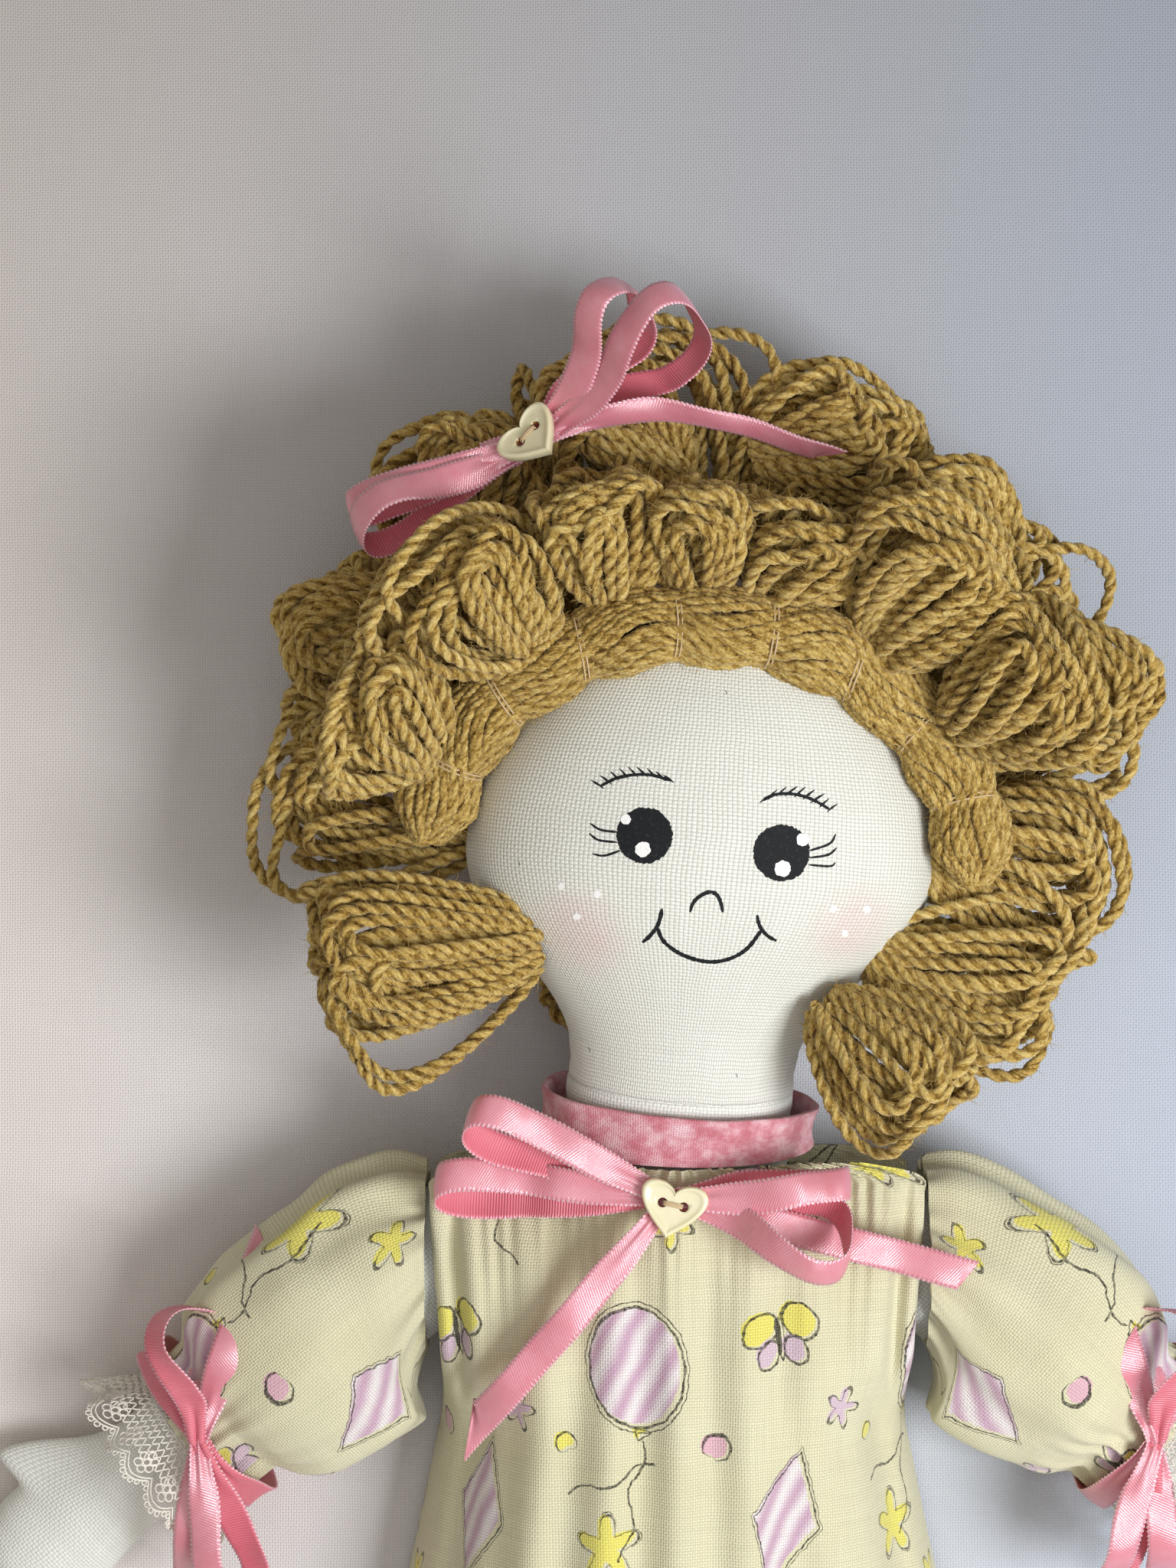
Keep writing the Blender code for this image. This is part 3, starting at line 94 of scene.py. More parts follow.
def linear(colour):
    """An sRGB hex colour as linear RGBA."""
    parts = [int(colour[i:i + 2], 16) / 255 for i in (0, 2, 4)]
    return [p / 12.92 if p <= 0.04045 else ((p + 0.055) / 1.055) ** 2.4 for p in parts] + [1.0]


def add(look, kind, sockets=(), **settings):
    """Adds a node to a material. sockets gives inputs their values, or the nodes that feed them."""
    made = look.node_tree.nodes.new("ShaderNode" + kind)
    for setting, value in settings.items():
        setattr(made, setting, value)
    for socket, value in dict(sockets).items():
        if isinstance(value, bpy.types.Node):
            value = value.outputs[0]
        if isinstance(value, bpy.types.NodeSocket):
            look.node_tree.links.new(value, made.inputs[socket])
        else:
            made.inputs[socket].default_value = value
    return made


def new_look(name):
    look = bpy.data.materials.new(name)
    look.use_nodes = True
    look.node_tree.nodes.clear()
    return look


def shine(look, colour, bump, **sockets):
    """Ends a material: its shader with a colour, a bump and sockets, and the output."""
    named = {word.replace("_", " "): value for word, value in sockets.items()}
    shader = add(look, "BsdfPrincipled", {"Base Color": colour, "Normal": bump, **named})
    add(look, "OutputMaterial", {"Surface": shader})
    return look


def plain_weave(look, thread):
    """A plain weave over the cloth's own length and width: how near each thread's crown a point is,
    from 0 in the holes to 1, the height of the weave there, and the place in the cloth."""
    place = add(look, "UVMap", uv_map="cloth")
    sway = add(look, "TexNoise", {"Vector": place, "Scale": 90, "Detail": 1.0})
    swayed = add(look, "VectorMath", {0: sway.outputs["Color"], 1: (0.0011,) * 3, 2: place},
                 operation="MULTIPLY_ADD")
    apart = add(look, "SeparateXYZ", {0: swayed})
    waves = []
    for axis in (0, 1):
        turn = add(look, "Math", {0: apart.outputs[axis], 1: math.pi / thread}, operation="MULTIPLY")
        waves.append(add(look, "Math", {0: turn}, operation="SINE"))
    over = add(look, "Math", {0: waves[0], 1: waves[1]}, operation="MULTIPLY")
    crown = add(look, "Math", {0: over}, operation="ABSOLUTE")
    height = add(look, "Math", {0: over, 1: 0.3, 2: crown}, operation="MULTIPLY_ADD")
    return crown, height, place


def woven_cotton(name, thread, hole, hole_shade_depth, ground, uneven=0.06):
    """Plain-woven cotton. ground gives its colour, or is a function (look, place) that draws it.
    hole is the colour of the painted shade in the holes between the threads, and the next
    argument how much of it they take.
    """
    look = new_look(name)
    crown, height, place = plain_weave(look, thread)
    colour = ground(look, place) if callable(ground) else add(look, "RGB")
    if not callable(ground):
        colour.outputs[0].default_value = linear(ground)
    slubs = []
    for stretch in ((60, 1400, 1), (1400, 60, 1)):
        drawn_out = add(look, "Mapping", {"Vector": place, "Scale": stretch})
        slubs.append(add(look, "TexNoise", {"Vector": drawn_out, "Scale": 1.0, "Detail": 2.0}))
    slubbed = add(look, "Math", {0: slubs[0], 1: slubs[1]}, operation="ADD")
    light = add(look, "MapRange", {0: slubbed, 1: 0.7, 2: 1.3, 3: 1 - uneven, 4: 1 + uneven * 0.8})
    toned = add(look, "VectorMath", {0: colour, "Scale": light}, operation="SCALE")
    # Painted shade: the holes between the threads are darkened towards the hole colour.
    hole_shade_share = add(look, "MapRange", {0: crown, 1: 0.0, 2: 0.42, 3: hole_shade_depth, 4: 0.0})
    woven = add(look, "Mix", {0: hole_shade_share, 6: toned, 7: linear(hole)}, data_type="RGBA")
    bump = add(look, "Bump", {"Height": height, "Distance": WEAVE_RELIEF, "Strength": 0.7})
    return shine(look, woven.outputs[2], bump, Roughness=0.92, Specular_IOR_Level=0.25,
                 Sheen_Weight=0.25, Sheen_Roughness=0.6)


def smooth(xs, ys, x):
    """The smooth curve through (xs, ys), read at each x: a cubic between points, with no overshoot."""
    xs, ys = np.asarray(xs, float), np.asarray(ys, float)
    x = np.clip(np.asarray(x, float), xs[0], xs[-1])
    slopes = np.diff(ys) / np.diff(xs)
    inner = np.where(slopes[:-1] * slopes[1:] <= 0, 0, (slopes[:-1] + slopes[1:]) / 2)
    at = np.concatenate(([slopes[0]], inner, [slopes[-1]]))
    i = np.clip(np.searchsorted(xs, x, side="right") - 1, 0, len(xs) - 2)
    step = xs[i + 1] - xs[i]
    t = (x - xs[i]) / step
    return (ys[i] * (1 + 2 * t) * (1 - t) ** 2 + at[i] * step * t * (1 - t) ** 2
            + ys[i + 1] * t * t * (3 - 2 * t) - at[i + 1] * step * t * t * (1 - t))


def ease(t):
    t = np.clip(t, 0, 1)
    return t * t * (3 - 2 * t)


def round_angles(count):
    return CIRCLE * np.arange(count) / count


def turned(angle, way, axis):
    """The direction way, turned by angle about axis."""
    return np.array(Matrix.Rotation(angle, 3, Vector(axis)) @ Vector(way))


def ring(middle, across, up, half_width, half_depth, angles, scale=1.0):
    """One section of a stuffed form: an ellipse, with scale for what swells or pinches it."""
    out = np.outer(np.cos(angles) * scale * half_width, across)
    return middle + out + np.outer(np.sin(angles) * scale * half_depth, up)


def above(rows, floor=0.0):
    rows = np.array(rows)
    rows[..., 2] = np.maximum(rows[..., 2], floor)
    return rows


def grid_quads(count, sides, around=True):
    """The corners of each four-sided face between count rows of sides points."""
    k = np.arange(sides if around else sides - 1)
    n = (k + 1) % sides
    j = np.arange(count - 1)[:, None]
    quads = np.stack([j * sides + k, j * sides + n, (j + 1) * sides + n, (j + 1) * sides + k], -1)
    return quads.reshape(-1, 4)


def piece(name, points, faces, look, tones=None, cloth=None):
    """A mesh object. tones holds its named values for each point, cloth its place in the flat cloth."""
    data = bpy.data.meshes.new(name)
    data.from_pydata(np.asarray(points, float).tolist(), [], faces)
    data.shade_smooth()
    data.materials.append(look)
    for word, values in (tones or {}).items():
        layer = data.attributes.new(word, "FLOAT", "POINT")
        layer.data.foreach_set("value", np.asarray(values, np.float32))
    if cloth is not None:
        layer = data.uv_layers.new(name="cloth")
        layer.data.foreach_set("uv", np.asarray(cloth, np.float32).ravel())
    made = bpy.data.objects.new(name, data)
    bpy.context.scene.collection.objects.link(made)
    return made


def skin(name, rows, look, around=True, ends=True, flat=None):
    """Cloth through rows of points: a closed form where around and ends say so, else a panel.

    Its cloth map is in metres, so that weave and print keep their size. flat gives the place of
    each point in the cloth where the cloth was cut flat and gathered."""
    rows = np.asarray(rows, float)
    count, sides = rows.shape[:2]
    quads = grid_quads(count, sides, around)
    if flat is None:
        wrapped = np.concatenate([rows, rows[:, :1]], 1) if around else rows
        steps = np.linalg.norm(np.diff(wrapped, axis=1), axis=2).mean(0)
        u = np.concatenate(([0], np.cumsum(steps)))
        v = np.concatenate(([0], np.cumsum(np.linalg.norm(np.diff(rows, axis=0), axis=2).mean(1))))
        flat = np.stack(np.broadcast_arrays(u[None, :], v[:, None]), -1)
    cloth = np.stack([flat[:-1, :-1], flat[:-1, 1:], flat[1:, 1:], flat[1:, :-1]], 2).reshape(-1, 4, 2)
    points = rows.reshape(-1, 3)
    corners = points[quads]
    facing = np.cross(corners[:, 2] - corners[:, 0], corners[:, 3] - corners[:, 1])
    outside = facing * (corners.mean(1) - points.mean(0)) if around else facing[:, 2]
    way = 1 if outside.sum() > 0 else -1
    points, faces = points.tolist(), quads[:, ::way].tolist()
    cloth = cloth[:, ::way].reshape(-1, 2).tolist()
    if ends:
        for row, first, turn in ((rows[0], 0, way), (rows[-1], (count - 1) * sides, -way)):
            points.append(row.mean(0).tolist())
            for a in range(sides):
                b = (a + 1) % sides
                faces.append([first + b, first + a, len(points) - 1][::turn])
                cloth += [[0, 0], [CALICO_THREAD, 0], [0, CALICO_THREAD]]
    return piece(name, points, faces, look, cloth=cloth)


def settled(obj):
    """The same object with its modifiers made part of its mesh."""
    graph = bpy.context.evaluated_depsgraph_get()
    data = bpy.data.meshes.new_from_object(obj.evaluated_get(graph))
    obj.modifiers.clear()
    obj.data = data
    return obj


def rumpled(rows, depth, size, seed):
    """Rows with each point moved a little in or out, as uneven stuffing moves a cover."""
    rows = np.array(rows)
    middles = rows.mean(1, keepdims=True)
    out = rows - middles
    out /= np.maximum(np.linalg.norm(out, axis=2, keepdims=True), 1e-9)
    shift = np.array([[noise.noise(Vector(p) / size + Vector((seed, 0, 0))) for p in row] for row in rows])
    return rows + out * shift[..., None] * depth


def torso_rows(swell, upto, angles, count=60):
    rows = []
    for t in np.linspace(0, upto / TORSO_LENGTH, count):
        wide = TORSO_HALF[0] * smooth(TORSO_ALONG, TORSO_WIDE, t) + swell
        deep = TORSO_HALF[1] * smooth(TORSO_ALONG, TORSO_DEEP, t) + swell
        middle = np.array([0, TORSO_BOTTOM - swell * (t == 0) + TORSO_LENGTH * t, TORSO_Z])
        rows.append(ring(middle, X, Z, wide, deep, angles))
    return rows


def bare(name, rows, body, node, look):
    """A stuffed calico piece in its place on a body, standing for its solid."""
    made = skin(name, rows, look)
    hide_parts(node)
    if body:
        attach(made, body)
    return made


calico = woven_cotton("bleached_calico", CALICO_THREAD, "A9A698", 0.55, "EEF0E8")
limb_angles = round_angles(64)
rows = rumpled(torso_rows(-0.3 * mm, TORSO_LENGTH, limb_angles), 0.5 * mm, 14 * mm, 1)
bare("stuffed_torso", rows, "body", "torso", calico)


# Neck: the torso's stuffed stub, of the same calico, over which the head's open end is sewn.
# It bends with the head, so it wrinkles across.
NECK_BOTTOM = TORSO_TOP + 0.3 * mm
NECK_LENGTH = 22 * mm
NECK_HALF = (25 * mm, 18 * mm)
NECK_TOP_Z = TORSO_Z + 0.42 * NECK_LENGTH
NECK_LEAN = math.radians(10)
HEAD_TILT = math.radians(-4.5)
HEAD_PIVOT = np.array([0, NECK_BOTTOM + NECK_LENGTH / 2, NECK_TOP_Z])


def neck_frame(t):
    """Middle of the neck at share t of its length, and the directions across and up there."""
    held = float(ease(t))
    middle = np.array([0, NECK_BOTTOM + NECK_LENGTH * t, TORSO_Z + (NECK_TOP_Z - TORSO_Z) * held])
    lean = turned(NECK_LEAN * held, Z, X)
    turn = HEAD_TILT * held
    return HEAD_PIVOT + turned(turn, middle - HEAD_PIVOT, Z), turned(turn, X, Z), turned(turn, lean, Z)


neck_angles = round_angles(72)
neck_rows = []
for neck_t in np.linspace(0, 1, 30):
    middle, across, up = neck_frame(neck_t)
    wrinkle = 1 - 0.012 * math.cos(neck_t * 5 * CIRCLE) * math.sin(math.pi * neck_t)
    neck_rows.append(ring(middle, across, up, *NECK_HALF, neck_angles, wrinkle))
neck = bare("stuffed_neck", neck_rows, None, "neck", calico)
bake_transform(neck)


# Head: two calico faces sewn together round the edge, turned, stuffed round and drawn in to the
# neck. Its lower end is gathered over the stub, so it is creased above the collar. The cheeks
# are rubbed with pink powder before the face is painted.
HEAD_BOTTOM = NECK_BOTTOM + NECK_LENGTH + 0.3 * mm
HEAD_LENGTH = 112 * mm
HEAD_HALF = (51.2 * mm, 33 * mm)
HEAD_Z = 43 * mm
HEAD_ALONG = (0.0, 0.06, 0.11, 0.17, 0.25, 0.33, 0.44, 0.56, 0.68, 0.8, 0.9, 0.97, 1.0)
HEAD_WIDE = (0.485, 0.49, 0.52, 0.61, 0.775, 0.925, 1.0, 0.975, 0.88, 0.715, 0.52, 0.3, 0.1)
HEAD_DEEP = (0.56, 0.565, 0.6, 0.68, 0.8, 0.91, 0.98, 1.0, 0.96, 0.84, 0.65, 0.39, 0.13)
HEAD_CENTRE = np.array([0, HEAD_BOTTOM + HEAD_LENGTH * 0.44, HEAD_Z])
FACE_MIDDLE = Vector((4.33 * mm, 127.5 * mm, SHARP_PLANE))
CHEEKS = ((-25.5, -13.5, 0.34), (33.0, -12.5, 0.34))  # places from the face's middle in mm, and depths
CHEEK_SIZE = 15 * mm
TILTED = (Matrix.Translation(HEAD_PIVOT.tolist()) @ Matrix.Rotation(HEAD_TILT, 4, "Z")
          @ Matrix.Translation((-HEAD_PIVOT).tolist()))


def powdered(look, place):
    """Calico with a soft pink powder rubbed into each cheek, thicker where the weave took it."""
    spot = add(look, "TexCoord").outputs["Object"]
    colour = add(look, "RGB")
    colour.outputs[0].default_value = linear("ECEEE5")
    cloud = add(look, "TexNoise", {"Vector": spot, "Scale": 160, "Detail": 3.0})
    for x, y, depth in CHEEKS:
        middle = (FACE_MIDDLE.x + x * mm, FACE_MIDDLE.y + y * mm, HEAD_Z + 22 * mm)
        away = add(look, "VectorMath", {0: spot, 1: middle}, operation="DISTANCE")
        share = add(look, "MapRange", {0: away.outputs["Value"], 1: 2 * mm, 2: CHEEK_SIZE, 3: depth, 4: 0.0},
                    interpolation_type="SMOOTHSTEP")
        patchy = add(look, "MapRange", {0: cloud, 1: 0.3, 2: 0.7, 3: 0.65, 4: 1.0})
        rubbed = add(look, "Math", {0: share, 1: patchy}, operation="MULTIPLY")
        mixed = add(look, "Mix", {0: rubbed, 6: colour, 7: linear("E5A3AC")}, data_type="RGBA")
        colour = mixed.outputs[2]
    return colour


head_angles = round_angles(160)
head_rows = []
for head_t in np.linspace(0, 1, 150) ** 0.9:
    in_neck = 1 - float(ease(head_t / 0.44))
    middle = np.array([0, HEAD_BOTTOM + HEAD_LENGTH * head_t, HEAD_Z + (NECK_TOP_Z - HEAD_Z) * in_neck])
    up = turned(NECK_LEAN * in_neck ** 3, Z, X)
    wide = HEAD_HALF[0] * smooth(HEAD_ALONG, HEAD_WIDE, head_t)
    deep = HEAD_HALF[1] * smooth(HEAD_ALONG, HEAD_DEEP, head_t)
    crease = (0.010 * math.exp(-((head_t - 0.035) / 0.008) ** 2)
              + 0.006 * math.exp(-((head_t - 0.085) / 0.01) ** 2))
    seam = 0.012 * np.exp(-(np.minimum(head_angles % math.pi, math.pi - head_angles % math.pi) / 0.05) ** 2)
    drawn_in = 1 - crease - seam * min(1, wide / (20 * mm))
    head_rows.append(ring(middle, X, up, wide, deep, head_angles, drawn_in))
head_rows = rumpled(head_rows, 0.35 * mm, 18 * mm, 3)
powdered_calico = woven_cotton("powdered_calico", CALICO_THREAD, "A09D8A", 0.62, powdered)
head = bare("stuffed_head", head_rows, "head", "head", powdered_calico)
head.data.transform(TILTED)
head_tree = BVHTree.FromPolygons([v.co[:] for v in head.data.vertices],
                                 [p.vertices[:] for p in head.data.polygons])


# Face: brushed and penned on with fabric paint once the head is stuffed. The paint sinks into
# the threads, so it is matt, follows the weave and has slightly ragged edges.
PAINT = 0.07 * mm  # how far it stands off the threads
EYES = (((-11.5, 7.3), 6.1), ((18.3, 3.5), 6.15))
EYE_LIGHTS = (((-15.6, 10.8), 1.15), ((-11.9, 4.3), 1.7), ((22.9, 6.4), 1.4), ((18.5, 0.1), 1.75))
FRECKLES = ((-29.7, -3.8), (-21.8, -5.5), (-26.2, -10.3), (29.5, -8.7), (36.8, -8.7), (32.0, -14.0))
MOUTH_AND_NOSE = (
    ((-8.8, -12.5), (-7.5, -15.5), (-4.5, -18.0), (-0.7, -19.6), (3.2, -20.2), (7.3, -19.4),
     (10.9, -17.2), (14.0, -13.2)),
    ((-7.7, -8.6), (-8.1, -10.6), (-8.8, -12.5), (-10.3, -14.5), (-12.0, -16.0)),
    ((13.0, -10.0), (13.3, -11.7), (14.1, -13.3), (15.5, -14.7), (17.2, -15.6)),
    ((-1.6, -9.4), (-1.0, -7.5), (0.4, -6.0), (2.6, -5.0), (4.2, -5.6), (5.1, -7.4), (5.5, -9.4)),
)
LASHES = (
    ((-23.3, 9.9), (-21.0, 8.5), (-17.2, 8.0)), ((-23.5, 7.7), (-21.5, 6.3), (-17.4, 5.8)),
    ((-22.8, 3.3), (-20.3, 2.9), (-16.8, 4.0)), ((30.1, 7.6), (28.7, 5.5), (24.2, 3.9)),
    ((30.3, 4.6), (28.4, 3.1), (24.3, 2.4)), ((30.0, 1.4), (28.8, 0.6), (24.2, 0.9)),
)
BROWS = (
    (-1, ((-21.2, 18.0), (-17.7, 19.7), (-13.7, 20.5), (-9.8, 20.4), (-5.8, 19.2))),
    (1, ((14.3, 14.9), (17.0, 16.2), (20.8, 16.3), (24.8, 15.2), (28.9, 12.9))),
)
PEN_MARKS = ((-39.0, 1.7), (-23.7, -38.8), (8.3, -44.5), (6.0, 38.9))


def on_face(x, y, lift=PAINT):
    """The point of the head's cotton that is seen x, y mm from the face's middle, raised by lift."""
    aim = FACE_MIDDLE + Vector((x, y, 0)) * mm - CAMERA_PLACE
    spot, normal, _, _ = head_tree.ray_cast(CAMERA_PLACE, aim.normalized())
    return spot + normal * lift


def along_curve(points, step):
    """Evenly spaced points on the smooth curve through points."""
    points = np.asarray(points, float)
    ends = np.concatenate(([2 * points[0] - points[1]], points, [2 * points[-1] - points[-2]]))
    t = np.linspace(0, 1, 12, endpoint=False)[:, None]
    parts = []
    for a, b, c, d in zip(ends, ends[1:], ends[2:], ends[3:]):
        parts.append(0.5 * (2 * b + (c - a) * t + (2 * a - 5 * b + 4 * c - d) * t ** 2
                            + (3 * b - a - 3 * c + d) * t ** 3))
    fine = np.concatenate(parts + [points[-1:]])
    lengths = np.concatenate(([0], np.cumsum(np.linalg.norm(np.diff(fine, axis=0), axis=1))))
    places = np.linspace(0, lengths[-1], max(3, int(lengths[-1] / step) + 1))
    return np.stack([np.interp(places, lengths, fine[:, i]) for i in range(fine.shape[1])], 1)


class Painted:
    """Strokes and dots of one paint, gathered into one piece."""

    def __init__(self):
        self.points, self.faces = [], []

    def line(self, path, width, thin_ends=0.45):
        path = along_curve(path, 0.3)
        ways = np.gradient(path, axis=0)
        ways /= np.linalg.norm(ways, axis=1, keepdims=True)
        first = len(self.points)
        for i, (spot, way) in enumerate(zip(path, ways)):
            from_end = min(i, len(path) - 1 - i) * 0.3
            half = width / 2 * min(1, thin_ends + from_end * 0.5) * draw.uniform(0.8, 1.2)
            for side in (-1, 0, 1):
                self.points.append(on_face(spot[0] - way[1] * half * side, spot[1] + way[0] * half * side))
        for i in range(len(path) - 1):
            a = first + 3 * i
            self.faces += [(a, a + 1, a + 4, a + 3), (a + 1, a + 2, a + 5, a + 4)]

    def dot(self, middle, radius, lift=PAINT, ragged=0.03):
        first, sides = len(self.points), max(16, int(radius * 16))
        edge = 1 + draw.uniform(-ragged, ragged, sides)
        rings = max(2, int(radius * 1.6))
        self.points.append(on_face(*middle, lift))
        for j in range(1, rings + 1):
            for k in range(sides):
                out = radius * j / rings * (edge[k] if j == rings else 1)
                angle = CIRCLE * k / sides
                x, y = middle[0] + out * math.cos(angle), middle[1] + out * math.sin(angle)
                self.points.append(on_face(x, y, lift))
        for k in range(sides):
            n = (k + 1) % sides
            self.faces.append((first, first + 1 + k, first + 1 + n))
            for j in range(rings - 1):
                a, b = first + 1 + j * sides, first + 1 + (j + 1) * sides
                self.faces.append((a + k, b + k, b + n, a + n))

    def piece(self, name, look):
        made = piece(name, self.points, self.faces, look)
        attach(made, "head")


def fabric_paint(name, colour, worn):
    """Matt acrylic fabric paint, thinner in patches a thread or two wide."""
    look = new_look(name)
    spot = add(look, "TexCoord").outputs["Object"]
    patches = add(look, "TexNoise", {"Vector": spot, "Scale": 1500, "Detail": 2.0})
    thin = add(look, "MapRange", {0: patches, 1: 0.55, 2: 0.75, 3: 0.0, 4: 0.55})
    mixed = add(look, "Mix", {0: thin, 6: linear(colour), 7: linear(worn)}, data_type="RGBA")
    bump = add(look, "Bump", {"Height": patches, "Distance": 0.1 * mm, "Strength": 0.6})
    return shine(look, mixed.outputs[2], bump, Roughness=0.75, Specular_IOR_Level=0.3)


black_paint, white_paint = Painted(), Painted()
for middle, radius in EYES:
    black_paint.dot(middle, radius)
for path in MOUTH_AND_NOSE:
    black_paint.line(path, 0.85)
for path in LASHES:
    black_paint.line(path, 0.5)
for outer, path in BROWS:
    black_paint.line(path, 0.7)
    base = along_curve(path, 1.9)
    for i, spot in enumerate(base):
        rise = 1.7 - 0.8 * abs(i / (len(base) - 1) - 0.5)
        lean = outer * draw.uniform(1.3, 2.1)
        low = spot - (lean * 0.45, 0.5)
        black_paint.line((low, spot + (lean * 0.3, rise * 0.4), spot + (lean, rise)), 0.5, 0.3)
for spot in PEN_MARKS:
    black_paint.line((spot, (spot[0] + 0.3, spot[1] - 0.5), (spot[0] + 0.35, spot[1] - 0.9)), 0.22)
for middle, radius in EYE_LIGHTS:
    white_paint.dot(middle, radius, 2.2 * PAINT, 0.08)
for middle in FRECKLES:
    white_paint.dot(middle, 0.8, PAINT, 0.25)
black_paint.piece("face_lines", fabric_paint("black_fabric_paint", "15181B", "3A3C3A"))
white_paint.piece("face_lights", fabric_paint("white_fabric_paint", "FBFBF8", "DADBD6"))


# Arms: calico tubes with mitten hands, stuffed and sewn on at the shoulder, where they swing.
# The hand is pressed flatter and its thumb is drawn out of one side.
ARM_LENGTH = 146 * mm
ARM_RADIUS = 13.8 * mm
ARM_DROOP = math.radians(37)
ARM_ALONG = (0.0, 0.02, 0.055, 0.1, 0.2, 0.4, 0.6, 0.74, 0.8, 0.86, 0.93, 0.98, 1.0)
ARM_WIDE = (0.2, 0.59, 0.89, 1.0, 1.0, 0.97, 0.9, 0.82, 0.9, 1.02, 0.95, 0.66, 0.25)
ARM_DEEP = (0.2, 0.59, 0.89, 1.0, 1.0, 0.97, 0.88, 0.72, 0.68, 0.66, 0.6, 0.42, 0.16)
ARM_TOP = 0.955 * ARM_RADIUS
SHOULDER = (48.58 * mm, 44.16 * mm)
HAND_Z = 8.6 * mm
THUMB = 9.5 * mm
THUMB_AT = 0.835
SIDES = ((1, "right"), (-1, "left"))


def arm_middle(side, t):
    reach = ARM_LENGTH * t - ARM_TOP
    height = TORSO_Z + (HAND_Z - TORSO_Z) * float(ease((t - 0.35) / 0.53))
    return np.array([side * (SHOULDER[0] + reach * math.cos(ARM_DROOP)),
                     SHOULDER[1] - reach * math.sin(ARM_DROOP), height])


def arm_directions(side):
    along = np.array([side * math.cos(ARM_DROOP), -math.sin(ARM_DROOP), 0])
    across = np.array([side * math.sin(ARM_DROOP), math.cos(ARM_DROOP), 0])
    return along, across


for side, word in SIDES:
    along, across = arm_directions(side)
    rows = []
    for t in np.linspace(0, 1, 110):
        wide = ARM_RADIUS * smooth(ARM_ALONG, ARM_WIDE, t)
        deep = ARM_RADIUS * smooth(ARM_ALONG, ARM_DEEP, t)
        row = ring(arm_middle(side, t), across, Z, wide, deep, limb_angles)
        past = t - THUMB_AT
        thumb = math.exp(-(past / 0.085) ** 2) if past < 0 else math.exp(-(past / 0.034) ** 4)
        thumb = thumb * np.exp(-(np.minimum(limb_angles, CIRCLE - limb_angles) / 0.5) ** 2)
        row += np.outer(thumb * THUMB, across + along * 0.5)
        rows.append(row)
    rows = above(rumpled(rows, 0.6 * mm, 11 * mm, 5 + side))
    bare("stuffed_arm_" + word, rows, "arm_" + word, "arm_" + word, calico)


# Legs: longer calico tubes, stuffed a little less at the top so that they swing up when the doll
# sits. Each foot wears a soft bootee of mottled pink cotton with its sole pressed flat.
LEG_LENGTH = 150 * mm
LEG_RADIUS = 16.5 * mm
LEG_SPREAD = math.radians(8)
LEG_ALONG = (0.0, 0.025, 0.06, 0.11, 0.22, 0.45, 0.7, 0.9, 1.0)
LEG_SIZE = (0.2, 0.58, 0.85, 1.0, 1.0, 0.92, 0.84, 0.78, 0.76)
LEG_Z = 19.9 * mm
HIP = (21.84 * mm, -87.2 * mm)
SHOE_LENGTH, SHOE_HEIGHT, SHOE_WIDTH = 46 * mm, 40 * mm, 31 * mm
SHOE_TURN_OUT = math.radians(14)
SHOE_DOWN = (0.0, 0.18, 0.38, 0.55, 0.72, 0.88, 0.97, 1.0)
SHOE_TOE = (0.0, 0.02, 0.12, 0.5, 0.86, 1.0, 0.96, 0.82)
SHOE_WIDE = (0.0, 0.1, 0.3, 0.66, 0.92, 1.0, 0.94, 0.78)
BOOTEE_THREAD = 0.55 * mm


def leg_directions(side):
    along = np.array([side * math.sin(LEG_SPREAD), -math.cos(LEG_SPREAD), 0])
    across = np.array([side * math.cos(LEG_SPREAD), math.sin(LEG_SPREAD), 0])
    return along, across


def leg_radius(t):
    return LEG_RADIUS * float(smooth(LEG_ALONG, LEG_SIZE, t))


def leg_middle(side, t):
    along, _ = leg_directions(side)
    lying = leg_radius(max(t, 0.66)) - 0.5 * mm
    height = LEG_Z + (lying - LEG_Z) * float(ease((t - 0.33) / 0.33))
    flat = np.array([side * HIP[0], HIP[1], height])
    return flat + along * (LEG_LENGTH * t - LEG_RADIUS)


def mottled(pale, mid, deep):
    """A ground of three tints run together, as cloth dyed in patches has."""
    def ground(look, place):
        cloud = add(look, "TexNoise", {"Vector": place, "Scale": 210, "Detail": 4.0, "Roughness": 0.65})
        first = add(look, "MapRange", {0: cloud, 1: 0.36, 2: 0.52, 3: 0.0, 4: 1.0})
        last = add(look, "MapRange", {0: cloud, 1: 0.5, 2: 0.68, 3: 0.0, 4: 1.0})
        half = add(look, "Mix", {0: first, 6: linear(deep), 7: linear(mid)}, data_type="RGBA")
        return add(look, "Mix", {0: last, 6: half.outputs[2], 7: linear(pale)}, data_type="RGBA").outputs[2]
    return ground


